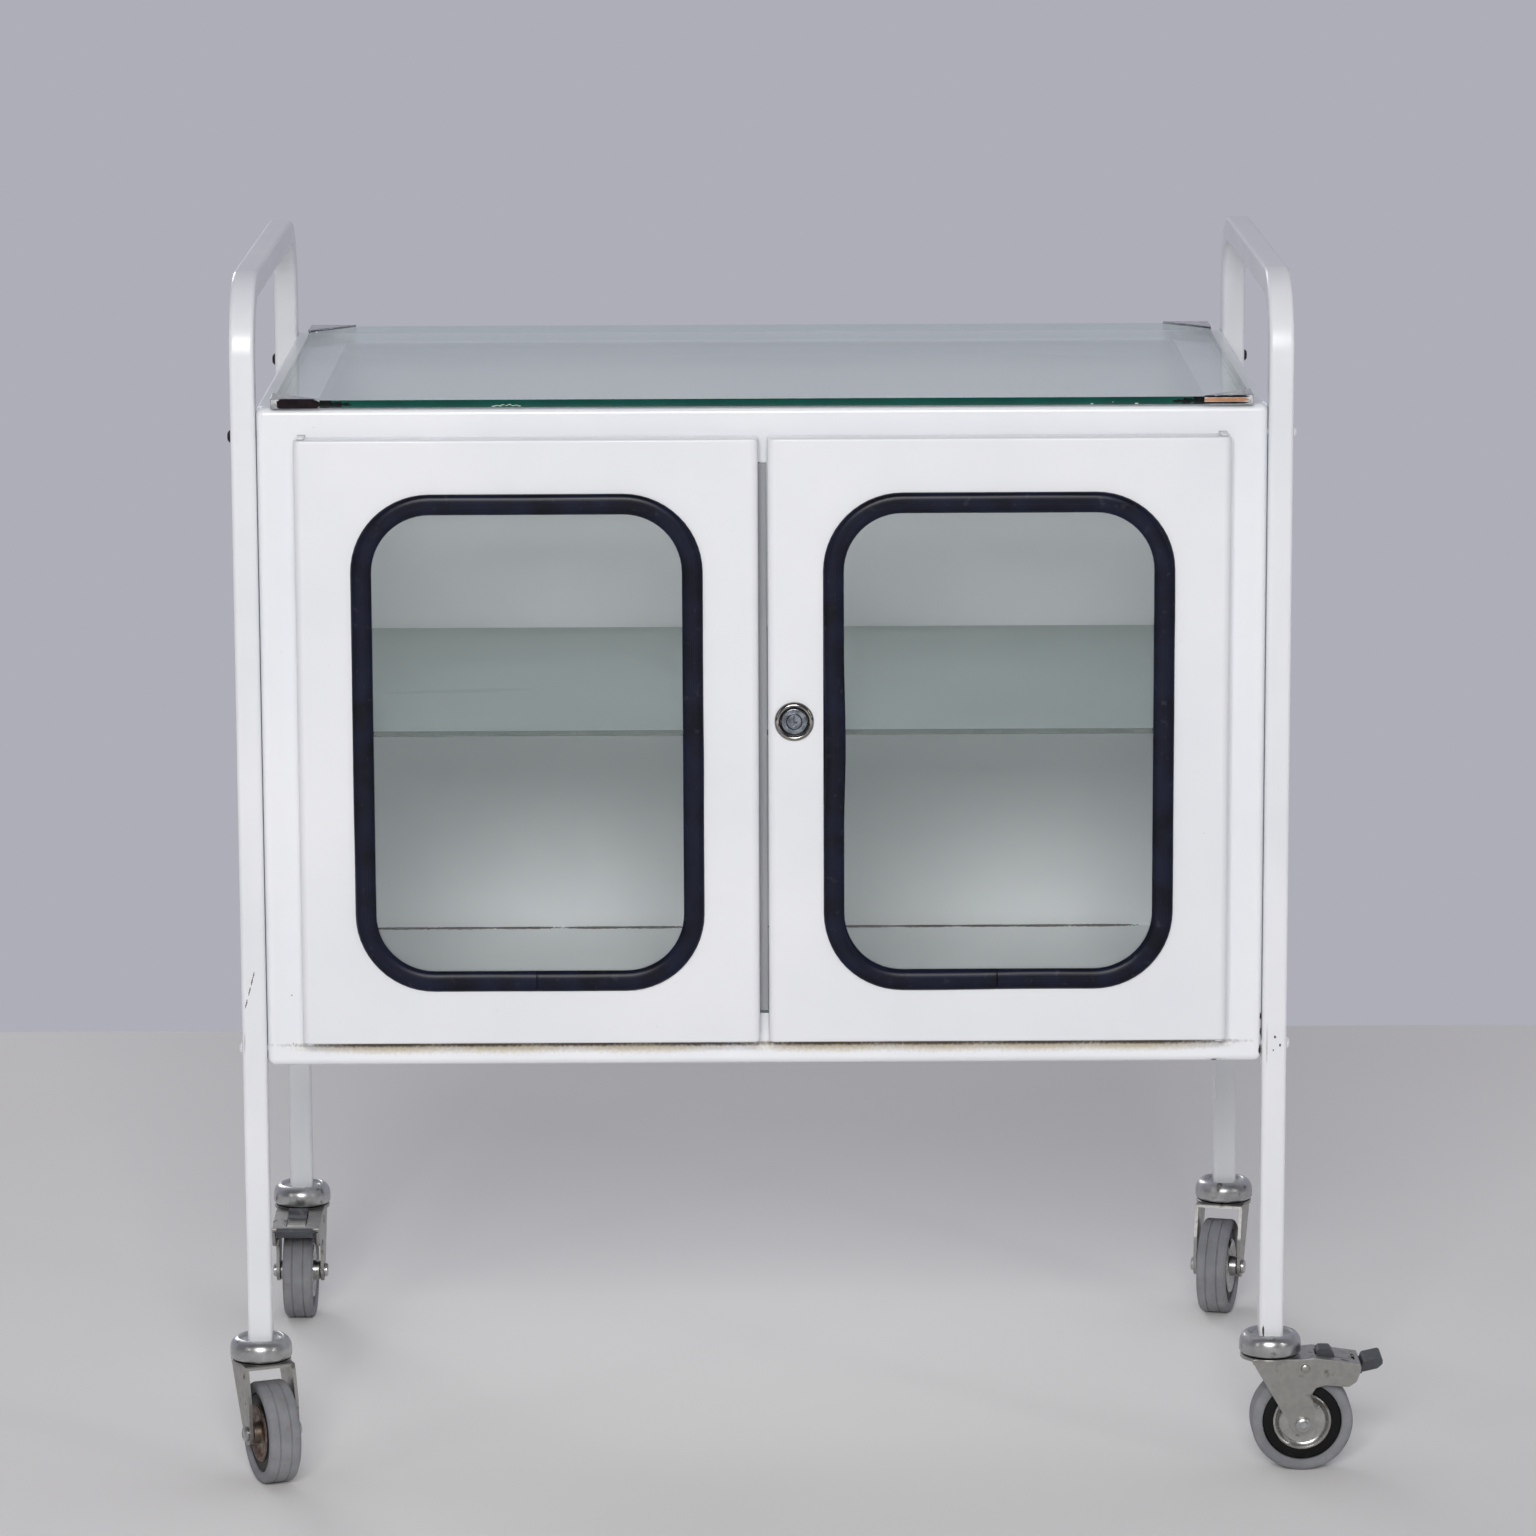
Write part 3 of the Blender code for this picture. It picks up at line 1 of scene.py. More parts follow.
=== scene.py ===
# %% [markdown]
# # A white enamelled hospital trolley
#
# Two inverted U frames of rectangular steel tube stand on four swivel casters. A cabinet of
# folded sheet steel hangs between them, with two glazed doors, a frosted glass shelf and a
# clear glass top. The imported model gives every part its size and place. This script adds what
# the eye expects: soft folds in the sheet, rounded rubber, glass with green edges, plated
# casters, and paint with a little wear.

import json
import math

import bmesh
import bpy
from mathutils import Matrix, Vector, noise


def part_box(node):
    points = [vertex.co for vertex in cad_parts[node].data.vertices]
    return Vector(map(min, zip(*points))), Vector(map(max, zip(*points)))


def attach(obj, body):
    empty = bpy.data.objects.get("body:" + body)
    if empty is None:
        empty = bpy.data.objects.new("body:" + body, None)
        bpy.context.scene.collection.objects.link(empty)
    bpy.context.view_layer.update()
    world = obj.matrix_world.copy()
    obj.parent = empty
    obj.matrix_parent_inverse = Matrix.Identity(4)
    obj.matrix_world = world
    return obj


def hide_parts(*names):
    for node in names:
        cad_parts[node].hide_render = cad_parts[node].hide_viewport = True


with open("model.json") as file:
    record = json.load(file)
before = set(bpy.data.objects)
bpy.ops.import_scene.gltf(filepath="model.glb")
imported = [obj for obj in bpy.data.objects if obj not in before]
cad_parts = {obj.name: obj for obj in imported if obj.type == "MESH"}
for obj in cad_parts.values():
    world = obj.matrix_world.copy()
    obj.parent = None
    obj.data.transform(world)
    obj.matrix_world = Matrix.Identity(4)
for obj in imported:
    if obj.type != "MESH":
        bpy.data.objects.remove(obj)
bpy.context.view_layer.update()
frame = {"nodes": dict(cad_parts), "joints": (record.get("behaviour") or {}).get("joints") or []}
scene = bpy.context.scene
JOINTS = {joint["name"]: joint for joint in frame["joints"]}
SIDES = ("left", "right")
CORNERS = ("front_left", "front_right", "rear_left", "rear_right")

# %% [markdown]
# ## Colours and nodes
#
# Paint shops give colours as sRGB hex values, while shaders work with linear light, so one
# function turns the first into the second. Materials are node trees. One small function adds
# a node, sets its options and fills its inputs, either with a number or with the output of
# another node. Two more do what most finishes here need: a colour that drifts in clouds, and
# the plugging of colour, gloss and bump into the shader. Everything is placed by Object
# coordinates. Each piece sits at the origin, so they are metres in the room, and a pattern's
# scale is one over its real size in metres.


# %% Colour and node helpers
def linear(hex_colour):
    shares = [int(hex_colour[at:at + 2], 16) / 255 for at in (0, 2, 4)]
    light = [share / 12.92 if share <= 0.04045 else ((share + 0.055) / 1.055) ** 2.4 for share in shares]
    return (*light, 1.0)


def add_node(tree, kind, inputs=None, **options):
    node = tree.nodes.new(kind)
    for option, value in options.items():
        setattr(node, option, value)
    for socket, value in (inputs or {}).items():
        if isinstance(value, bpy.types.NodeSocket):
            tree.links.new(value, node.inputs[socket])
        else:
            node.inputs[socket].default_value = value
    return node


def start_finish(name, constants):
    """A new material with the shader's constant sockets set, and its Object coordinates."""
    material = bpy.data.materials.new(name)
    material.use_nodes = True
    tree = material.node_tree
    shader = tree.nodes["Principled BSDF"]
    for socket, value in constants.items():
        shader.inputs[socket].default_value = value
    places = add_node(tree, "ShaderNodeTexCoord").outputs["Object"]
    return material, tree, shader, places


def millimetres(size):
    """The scale of a pattern whose features measure this many millimetres."""
    return 1000 / size


def clouded(tree, places, size, dark, pale, **grain):
    """A colour that drifts from dark to pale in clouds of this many millimetres, and the drift."""
    clouds = add_node(tree, "ShaderNodeTexNoise", {"Vector": places, "Scale": millimetres(size), **grain})
    drift = add_node(
        tree, "ShaderNodeMapRange", {"Value": clouds.outputs["Fac"], "From Min": 0.35, "From Max": 0.65}
    ).outputs[0]
    colour = add_node(
        tree, "ShaderNodeMix", {0: drift, 6: linear(dark), 7: linear(pale)}, data_type="RGBA"
    ).outputs[2]
    return colour, drift


def plug_in(tree, shader, colour, gloss, height, strength, depth=0.0003):
    """Connects a finish's colour and gloss to the shader, and its height as bump."""
    bump = add_node(tree, "ShaderNodeBump", {"Height": height, "Strength": strength, "Distance": depth})
    tree.links.new(colour, shader.inputs["Base Color"])
    tree.links.new(gloss, shader.inputs["Roughness"])
    tree.links.new(bump.outputs[0], shader.inputs["Normal"])


print("mid grey is", round(linear("808080")[0], 3), "in linear light")

# %% [markdown]
# ## Chips in the paint
#
# Enamel chips where something knocks against it, and the bare steel under the chip turns
# brown. Each chip is an ellipsoid around one place: the coordinates are moved to it, divided
# by its half sizes, and everything closer than one belongs to the chip. A little noise
# frays the rim, because a chip is never a clean ellipse. Rust stains, dirt, painted shadows
# and painted reflections are placed the same way, and most have a softer rim.


# %% Masks for chips, rust and dirt
CHIP_GRAIN = 2.5


def spots(tree, places, marks, fray=0.7, blur=0.02):
    """A mask that is one inside each (centre, half sizes) and zero elsewhere, frayed or blurred."""
    grain = add_node(
        tree, "ShaderNodeTexNoise", {"Vector": places, "Scale": millimetres(CHIP_GRAIN), "Detail": 4.0}
    ).outputs["Fac"]
    rim = add_node(
        tree, "ShaderNodeMapRange", {"Value": grain, "To Min": 1 - fray, "To Max": 1 + fray}
    ).outputs[0]
    mask = None
    for centre, half_sizes in marks:
        moved = add_node(
            tree, "ShaderNodeVectorMath", {0: places, 1: centre}, operation="SUBTRACT"
        ).outputs[0]
        scaled = add_node(
            tree, "ShaderNodeVectorMath", {0: moved, 1: half_sizes}, operation="DIVIDE"
        ).outputs[0]
        far = add_node(tree, "ShaderNodeVectorMath", {0: scaled}, operation="LENGTH").outputs["Value"]
        depth = add_node(tree, "ShaderNodeMath", {0: rim, 1: far}, operation="SUBTRACT").outputs[0]
        inside = add_node(
            tree, "ShaderNodeMath", {0: depth, 1: blur}, operation="DIVIDE", use_clamp=True
        ).outputs[0]
        if mask is not None:
            inside = add_node(tree, "ShaderNodeMath", {0: mask, 1: inside}, operation="MAXIMUM").outputs[0]
        mask = inside
    return mask


def marked(tree, places, colour, marks, mark_colour, fray, blur=0.02, strength=1.0):
    """Lays a second colour over the first, in the marks alone."""
    if not marks:
        return colour
    mask = spots(tree, places, marks, fray, blur)
    if strength < 1:
        mask = add_node(tree, "ShaderNodeMath", {0: mask, 1: strength}, operation="MULTIPLY").outputs[0]
    return add_node(
        tree, "ShaderNodeMix", {0: mask, 6: colour, 7: linear(mark_colour)}, data_type="RGBA"
    ).outputs[2]


def specks(tree, places, spacing, size, share):
    """A mask of tiny round specks, in this share of cells of the given spacing, in millimetres."""
    cells = add_node(tree, "ShaderNodeTexVoronoi", {"Vector": places, "Scale": millimetres(spacing)})
    near = add_node(
        tree, "ShaderNodeMath", {0: cells.outputs["Distance"], 1: size / spacing}, operation="LESS_THAN"
    ).outputs[0]
    chosen = add_node(tree, "ShaderNodeSeparateColor", {"Color": cells.outputs["Color"]}).outputs[0]
    kept = add_node(tree, "ShaderNodeMath", {0: chosen, 1: share}, operation="LESS_THAN").outputs[0]
    return add_node(tree, "ShaderNodeMath", {0: near, 1: kept}, operation="MULTIPLY").outputs[0]


# %% [markdown]
# ## White enamel
#
# The trolley is sprayed and baked. The enamel is glossy but not flat: it has orange peel,
# shallow waves about 3 mm across, and its white drifts a little from lighter to greyer.
# Dust specks lie in it, and chips show rust. The eye reads gloss from how sharp the
# reflections are, so the roughness drifts too, where hands have dulled the paint. The sizes
# at the head of this cell and of the next ones are in millimetres, and waves are counted to
# the metre.


# %% The enamel finishes
WHITE_DRIFT, ORANGE_PEEL, MILL_SCALE = 200, 3, 1.5
HANDLED_WAVES = 9.0
DUST_SPACING, DUST_SIZE, DUST_SHARE = 9, 0.22, 0.12
DUST, BARE_STEEL, RUST = "8D8680", "2E2A2B", "5A4234"


def gloss_enamel(name, bright, shaded, chips=(), soils_and_painted_shadows=()):
    """Soils and painted shadows are (places, colour, strength), laid over the paint one after another."""
    material, tree, shader, places = start_finish(name, {"IOR": 1.5})
    colour = clouded(tree, places, WHITE_DRIFT, shaded, bright, Detail=3.0, Roughness=0.6)[0]
    dust = specks(tree, places, DUST_SPACING, DUST_SIZE, DUST_SHARE)
    colour = add_node(
        tree, "ShaderNodeMix", {0: dust, 6: colour, 7: linear(DUST)}, data_type="RGBA"
    ).outputs[2]
    # Stains of soil, and on the cabinet the painted shadow under the doors.
    for soil_and_shadow_places, soil_and_shadow_colour, strength in soils_and_painted_shadows:
        colour = marked(tree, places, colour, soil_and_shadow_places, soil_and_shadow_colour, 0.4, 0.7, strength)
    dull = add_node(
        tree, "ShaderNodeTexNoise", {"Vector": places, "Scale": HANDLED_WAVES, "Detail": 1.0}
    ).outputs["Fac"]
    gloss = add_node(tree, "ShaderNodeMapRange", {"Value": dull, "To Min": 0.18, "To Max": 0.30}).outputs[0]
    height = add_node(
        tree, "ShaderNodeTexNoise", {"Vector": places, "Scale": millimetres(ORANGE_PEEL), "Detail": 1.0}
    ).outputs["Fac"]
    if chips:
        bare = spots(tree, places, chips)
        scale = add_node(
            tree, "ShaderNodeTexNoise", {"Vector": places, "Scale": millimetres(MILL_SCALE), "Detail": 3.0}
        ).outputs["Fac"]
        rusty = add_node(
            tree, "ShaderNodeMix", {0: scale, 6: linear(BARE_STEEL), 7: linear(RUST)}, data_type="RGBA"
        ).outputs[2]
        colour = add_node(tree, "ShaderNodeMix", {0: bare, 6: colour, 7: rusty}, data_type="RGBA").outputs[2]
        gloss = add_node(tree, "ShaderNodeMath", {0: gloss, 1: bare}, operation="MAXIMUM").outputs[0]
        height = add_node(tree, "ShaderNodeMath", {0: height, 1: bare}, operation="SUBTRACT").outputs[0]
    plug_in(tree, shader, colour, gloss, height, 0.06)
    return material


print("the enamel's orange peel has a scale of", round(millimetres(ORANGE_PEEL)), "waves to the metre")

# %% [markdown]
# ## Plated steel
#
# The casters are pressed steel with zinc plating, which stays a soft, mottled grey. The cups
# over the swivel bearings are brighter, the clips are chrome and the lock's ring is nickel.
# All are metals, so their colour goes into the reflection, and the mottling shows mostly as
# changes in roughness. Fine noise, a little distorted, gives the bump of pressed metal that
# has been knocked about.


# %% The metal finishes
GRIME_CLOUDS, PRESSED_GRAIN = 9, 1.2
PAINTED_REFLECTION_DARK, COPPER = "241F22", "BA8A66"


def plated_steel(
    name, pale, dark, smooth, rough, mottle,
    grime=0.0, grime_colour="5D5348", chips=(), painted_dark_reflection=(), dents=0.02,
):
    """Mottle is the size of its clouds in millimetres, and dents is the strength of its bump."""
    material, tree, shader, places = start_finish(name, {"Metallic": 1.0})
    colour, drift = clouded(tree, places, mottle, dark, pale, Detail=5.0, Roughness=0.65)
    gloss = add_node(
        tree, "ShaderNodeMapRange", {"Value": drift, "To Min": rough, "To Max": smooth}
    ).outputs[0]
    if grime:
        film = add_node(
            tree, "ShaderNodeTexNoise", {"Vector": places, "Scale": millimetres(GRIME_CLOUDS), "Detail": 6.0}
        ).outputs["Fac"]
        dirty = add_node(
            tree,
            "ShaderNodeMapRange",
            {"Value": film, "From Min": 0.62 - grime, "From Max": 0.72, "To Max": 0.75},
        ).outputs[0]
        colour = add_node(
            tree, "ShaderNodeMix", {0: dirty, 6: colour, 7: linear(grime_colour)}, data_type="RGBA"
        ).outputs[2]
        gloss = add_node(tree, "ShaderNodeMath", {0: gloss, 1: dirty}, operation="MAXIMUM").outputs[0]
    # On the clips both marks are painted reflections: dark bands, and a copper band in the place of chips.
    colour = marked(tree, places, colour, painted_dark_reflection, PAINTED_REFLECTION_DARK, 0.3)
    colour = marked(tree, places, colour, chips, COPPER, 0.3)
    knocks = add_node(
        tree,
        "ShaderNodeTexNoise",
        {"Vector": places, "Scale": millimetres(PRESSED_GRAIN), "Detail": 3.0, "Distortion": 1.5},
    ).outputs["Fac"]
    plug_in(tree, shader, colour, gloss, knocks, dents)
    return material


# %% [markdown]
# ## Rubber and plastic
#
# The glazing section is extruded EPDM rubber: nearly black with a blue cast, and smooth
# enough for a soft highlight. The tyres are grey moulded rubber that marks no floors, and
# their treads are dull with dust. The brake pedals are moulded plastic.


# %% The rubber and plastic finishes
MOULDED_CLOUDS, DUST_CLOUDS = 22, 6


def rubber(name, pale, dark, smooth, rough, grain, dust=0.0, dust_colour="7A7069", ior=1.5, die_lines=0):
    """Grain is the size of its pores in millimetres. With die_lines, fine lines follow an
    extruded piece, whose attribute "across" says where on the section a point lies."""
    material, tree, shader, places = start_finish(name, {"IOR": ior})
    colour, drift = clouded(tree, places, MOULDED_CLOUDS, dark, pale, Detail=5.0)
    gloss = add_node(
        tree, "ShaderNodeMapRange", {"Value": drift, "To Min": smooth, "To Max": rough}
    ).outputs[0]
    if dust:
        film = add_node(
            tree, "ShaderNodeTexNoise", {"Vector": places, "Scale": millimetres(DUST_CLOUDS), "Detail": 7.0}
        ).outputs["Fac"]
        dusty = add_node(
            tree,
            "ShaderNodeMapRange",
            {"Value": film, "From Min": 0.65 - dust, "From Max": 0.75, "To Max": 0.8},
        ).outputs[0]
        colour = add_node(
            tree, "ShaderNodeMix", {0: dusty, 6: colour, 7: linear(dust_colour)}, data_type="RGBA"
        ).outputs[2]
    if die_lines:
        section_share = add_node(tree, "ShaderNodeAttribute", attribute_name="across").outputs["Fac"]
        lines = add_node(
            tree,
            "ShaderNodeTexNoise",
            {"W": section_share, "Scale": float(die_lines), "Detail": 2.0},
            noise_dimensions="1D",
        ).outputs["Fac"]
        shine = add_node(
            tree, "ShaderNodeMapRange", {"Value": lines, "From Min": 0.35, "From Max": 0.65, "To Min": 0.6}
        ).outputs[0]
        colour = add_node(
            tree, "ShaderNodeMix", {0: shine, 6: linear(dark), 7: colour}, data_type="RGBA"
        ).outputs[2]
        gloss = add_node(
            tree, "ShaderNodeMapRange", {"Value": lines, "To Min": smooth, "To Max": rough}
        ).outputs[0]
    pores = add_node(
        tree, "ShaderNodeTexNoise", {"Vector": places, "Scale": millimetres(grain), "Detail": 3.0}
    ).outputs["Fac"]
    plug_in(tree, shader, colour, gloss, pores, 0.12)
    return material


# %% [markdown]
# ## Glass
#
# Float glass is clear through its faces and deep green through its edges, because there the
# light crosses the whole pane. Light has to fall through it into the cabinet. So a face is
# a mirror with a low alpha, which rises as the view grows shallow, as a real pane's
# reflection does. The shelf is sand-blasted: it scatters what lies behind into a grey green.


# %% The glass finishes
EDGE_STREAK, BLAST_GRAIN = 30, 0.8
WIPED_WAVES, FROST_WAVES = 9.0, 7.0
SHADE, SHELL_CHIP, SMEAR = "04100E", "C9D2C4", "7E8884"


def clear_glass(name, film):
    """Film is the alpha of the glass where it is looked at straight on."""
    material, tree, shader, places = start_finish(name, {"Metallic": 1.0, "Base Color": linear("F4FFFB")})
    facing = add_node(tree, "ShaderNodeLayerWeight", {"Blend": 0.5}).outputs["Facing"]
    steep = add_node(tree, "ShaderNodeMath", {0: facing, 1: 5.0}, operation="POWER").outputs[0]
    alpha = add_node(tree, "ShaderNodeMapRange", {"Value": steep, "To Min": film, "To Max": 1.0}).outputs[0]
    wipes = add_node(
        tree, "ShaderNodeTexNoise", {"Vector": places, "Scale": WIPED_WAVES, "Detail": 5.0}
    ).outputs["Fac"]
    gloss = add_node(tree, "ShaderNodeMapRange", {"Value": wipes, "To Min": 0.0, "To Max": 0.08}).outputs[0]
    tree.links.new(alpha, shader.inputs["Alpha"])
    tree.links.new(gloss, shader.inputs["Roughness"])
    return material


def glass_edge(name, deep, pale, chips=(), shades=(), solidity=1.0, dull=0.12):
    """Shades are the dark ends of the edge, and chips are the pale shells broken out of it."""
    material, tree, shader, places = start_finish(name, {"IOR": 1.52, "Roughness": dull, "Alpha": solidity})
    streaks = add_node(
        tree, "ShaderNodeTexNoise", {"Vector": places, "Scale": millimetres(EDGE_STREAK), "Detail": 4.0}
    ).outputs["Fac"]
    colour = add_node(
        tree, "ShaderNodeMix", {0: streaks, 6: linear(deep), 7: linear(pale)}, data_type="RGBA"
    ).outputs[2]
    colour = marked(tree, places, colour, shades, SHADE, 0.9)
    colour = marked(tree, places, colour, chips, SHELL_CHIP, 0.7)
    tree.links.new(colour, shader.inputs["Base Color"])
    return material


def frosted_glass(name, smears):
    material, tree, shader, places = start_finish(name, {"IOR": 1.52, "Alpha": 0.72})
    clouds = add_node(
        tree, "ShaderNodeTexNoise", {"Vector": places, "Scale": FROST_WAVES, "Detail": 5.0}
    ).outputs["Fac"]
    colour = add_node(
        tree, "ShaderNodeMix", {0: clouds, 6: linear("A4B4B2"), 7: linear("B6C4C2")}, data_type="RGBA"
    ).outputs[2]
    colour = marked(tree, places, colour, smears, SMEAR, 0.8, strength=0.25)
    blasted = add_node(
        tree, "ShaderNodeTexNoise", {"Vector": places, "Scale": millimetres(BLAST_GRAIN), "Detail": 2.0}
    ).outputs["Fac"]
    gloss = add_node(tree, "ShaderNodeMapRange", {"Value": blasted, "To Min": 0.5, "To Max": 0.7}).outputs[0]
    plug_in(tree, shader, colour, gloss, blasted, 0.1, 0.0001)
    return material


# %% [markdown]
# ## Shapes from a few operators
#
# Almost every piece here is made in one of four ways: a box with some edges rounded, a rod,
# a profile turned about an axis, or an outline pulled straight. Small helpers do those, and
# one more pulls and swings a row of edges, which is how a tube or a rubber section follows
# its path.


# %% Shape helpers
WELD = 0.00001
# Turns a shape's Z to the trolley's front.
TO_FRONT = Matrix.Rotation(math.pi / 2, 4, "X")


def box_shape(low, high):
    bm = bmesh.new()
    low, high = Vector(low), Vector(high)
    place = Matrix.Translation((low + high) / 2) @ Matrix.Diagonal((*(high - low), 1))
    bmesh.ops.create_cube(bm, size=1, matrix=place)
    return bm


def rod_shape(start, end, radius, steps):
    bm = bmesh.new()
    start, run = Vector(start), Vector(end) - Vector(start)
    turn = run.to_track_quat("Z", "Y").to_matrix().to_4x4()
    bmesh.ops.create_cone(
        bm,
        cap_ends=True,
        segments=steps,
        radius1=radius,
        radius2=radius,
        depth=run.length,
        matrix=Matrix.Translation(start + run / 2) @ turn,
    )
    return bm


def turned_shape(profile, steps, place):
    """Spins a profile of (radius, height) about Z and puts the result in place."""
    bm = bmesh.new()
    verts = [bm.verts.new((radius, 0, height)) for radius, height in profile]
    edges = [bm.edges.new(pair) for pair in zip(verts, verts[1:])]
    if profile[0][0] > 0:
        edges.append(bm.edges.new((verts[-1], verts[0])))
    bmesh.ops.spin(
        bm, geom=verts + edges, cent=(0, 0, 0), axis=(0, 0, 1), angle=math.tau, steps=steps, use_merge=True
    )
    bmesh.ops.remove_doubles(bm, verts=bm.verts, dist=WELD)
    bmesh.ops.recalc_face_normals(bm, faces=bm.faces)
    bm.transform(place)
    return bm


def round_corners(bm, radius, steps):
    """Rounds every corner of a flat shape."""
    bmesh.ops.bevel(
        bm, geom=bm.verts[:], offset=radius, segments=steps, profile=0.5, affect="VERTICES", material=-1,
        clamp_overlap=True,
    )


def slide(bm, made, run):
    """Moves what an extrusion made along run."""
    bmesh.ops.translate(bm, verts=[item for item in made if isinstance(item, bmesh.types.BMVert)], vec=run)


def pull_faces(bm, run):
    """Pulls a flat shape along run into a solid."""
    slide(bm, bmesh.ops.extrude_face_region(bm, geom=bm.faces[:])["geom"], run)


def pulled_shape(outline, run, rounding=0.0):
    """A flat outline with its corners rounded, pulled along run."""
    bm = bmesh.new()
    bm.faces.new([bm.verts.new(point) for point in outline])
    if rounding:
        round_corners(bm, rounding, 5)
    pull_faces(bm, run)
    bmesh.ops.recalc_face_normals(bm, faces=bm.faces)
    return bm


def pull(bm, edges, run):
    """Pulls a row of edges along run and returns the new row."""
    made = bmesh.ops.extrude_edge_only(bm, edges=edges)["geom"]
    slide(bm, made, run)
    return [item for item in made if isinstance(item, bmesh.types.BMEdge)]


def swing(bm, edges, centre, axis, angle, steps):
    last = bmesh.ops.spin(bm, geom=edges, cent=centre, axis=axis, angle=angle, steps=steps)["geom_last"]
    return [item for item in last if isinstance(item, bmesh.types.BMEdge)]


def same(first, second):
    return abs(first - second) < WELD


def upright(a, b):
    return same(a.x, b.x) and same(a.y, b.y)


def round_edges(bm, chosen, radius, steps):
    """Rounds each edge for which chosen(one end, other end) holds."""
    edges = [edge for edge in bm.edges if chosen(*[vert.co for vert in edge.verts])]
    bmesh.ops.bevel(
        bm, geom=edges, offset=radius, segments=steps, profile=0.5, affect="EDGES", material=-1,
        clamp_overlap=True,
    )


# %% [markdown]
# ## Sheet metal and cut-outs
#
# A fabricator folds a sheet and then punches it. Blender's Solidify gives a folded skin its
# thickness, and exact Booleans punch the holes. Both are modifiers, so they run on
# a temporary object, and the result is read back as plain mesh.


# %% Punching helper and the last touch for every piece
SHARP = math.radians(40)
SOFT_EDGE = 0.0003


def temporary_object(bm):
    mesh = bpy.data.meshes.new("temporary")
    bm.to_mesh(mesh)
    bm.free()
    obj = bpy.data.objects.new("temporary", mesh)
    scene.collection.objects.link(obj)
    return obj


def worked(bm, wall=0.0, punches=(), welds=(), outwards=False):
    """Thickens a skin by wall, joins the shapes in welds to it and cuts those in punches."""
    base = temporary_object(bm)
    if wall:
        solid = base.modifiers.new("Wall", "SOLIDIFY")
        solid.thickness = wall
        solid.offset = 1 if outwards else -1
        solid.use_even_offset = True
    tools = []
    for operation, shapes in (("UNION", welds), ("DIFFERENCE", punches)):
        for shape in shapes:
            bmesh.ops.recalc_face_normals(shape, faces=shape.faces)
            tools.append(temporary_object(shape))
            boolean = base.modifiers.new(operation.title(), "BOOLEAN")
            boolean.operation = operation
            boolean.solver = "EXACT"
            boolean.object = tools[-1]
    shaped = base.evaluated_get(bpy.context.evaluated_depsgraph_get())
    result = bmesh.new()
    result.from_mesh(shaped.to_mesh())
    shaped.to_mesh_clear()
    for obj in (base, *tools):
        mesh = obj.data
        bpy.data.objects.remove(obj)
        bpy.data.meshes.remove(mesh)
    return result


def add_piece(name, bm, body, stands_for, finishes, edge=0.0):
    """Makes the object, softens its edges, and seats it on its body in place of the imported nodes."""
    mesh = bpy.data.meshes.new(name)
    bm.to_mesh(mesh)
    bm.free()
    for finish in finishes:
        mesh.materials.append(finish)
    mesh.shade_smooth()
    mesh.set_sharp_from_angle(angle=SHARP)
    piece = bpy.data.objects.new(name, mesh)
    scene.collection.objects.link(piece)
    if edge:
        bevel = piece.modifiers.new("Soft edges", "BEVEL")
        bevel.width = edge
        bevel.segments = 2
        bevel.limit_method = "ANGLE"
        bevel.angle_limit = SHARP
    normals = piece.modifiers.new("Flat faces stay flat", "WEIGHTED_NORMAL")
    normals.keep_sharp = True
    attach(piece, body)
    if stands_for:
        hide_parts(*stands_for)
    print(name, "has", len(mesh.polygons), "faces")
    return piece


def finish_nodes(names, finish):
    """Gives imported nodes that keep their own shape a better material."""
    for name in names:
        node = frame["nodes"][name]
        for material_slot in node.material_slots:
            material_slot.material = finish
    print(finish.name, "goes on", ", ".join(names))


# %% [markdown]
# ## Where the wear and the painted shadow are
#
# The paint is worn in a few places. A thin scratch slants down the left leg, with two chips
# beside it, and the right leg is chipped low down. Rust has run where the cabinet's lower
# right corner meets the leg, and rust shows in the crack at the back of the cabinet's floor.
# Under the doors a painted shadow lies on the cabinet's face: a dark brown line, partly
# grime, and below it a beige band that fades out, partly dried water marks and partly
# painted shade. The places are measured from the trolley's middle, front and floor, and one
# shift turns them into room coordinates.

# %% Places of the wear and the painted shadow, and the enamels
glass_low, glass_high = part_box("glass_top")
SHIFT = Vector(((glass_low.x + glass_high.x) / 2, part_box("left_side_frame")[0].y, 0))


def wear_and_light_mark(x, y, z, wide, tall, deep=0.004):
    """A marked place for wear, dirt, painted shade and painted reflections: its centre, and its half width
    and half height, in mm. Deep is in metres.
    """
    centre = SHIFT + Vector((x, y, z)) / 1000
    return tuple(centre), (wide / 1000, deep, tall / 1000)


SCRATCH = [
    wear_and_light_mark(-371.2 - 0.5 * step, 0, 379.5 - 1.9 * step, 0.28, 1.5)
    for step in (0, 1, 2, 3, 4, 6, 7, 8, 11, 12, 13)
]
LEG_CHIPS = (
    *SCRATCH,
    wear_and_light_mark(-358.8, 0, 379.8, 0.7, 2.2),
    wear_and_light_mark(-358.9, 0, 494.7, 0.7, 1.2),
    wear_and_light_mark(372.2, 0, 328.4, 0.8, 1.2),
    wear_and_light_mark(375.9, 0, 322.3, 0.7, 1.0),
    wear_and_light_mark(371.0, 0, 318.5, 0.5, 0.7),
    wear_and_light_mark(366.0, 0, 106.5, 0.8, 4.0),
)
LEG_STAINS = (
    wear_and_light_mark(-378.9, 0, 327.6, 0.8, 9.0),
    wear_and_light_mark(366.4, 0, 322.0, 0.7, 18.0),
)
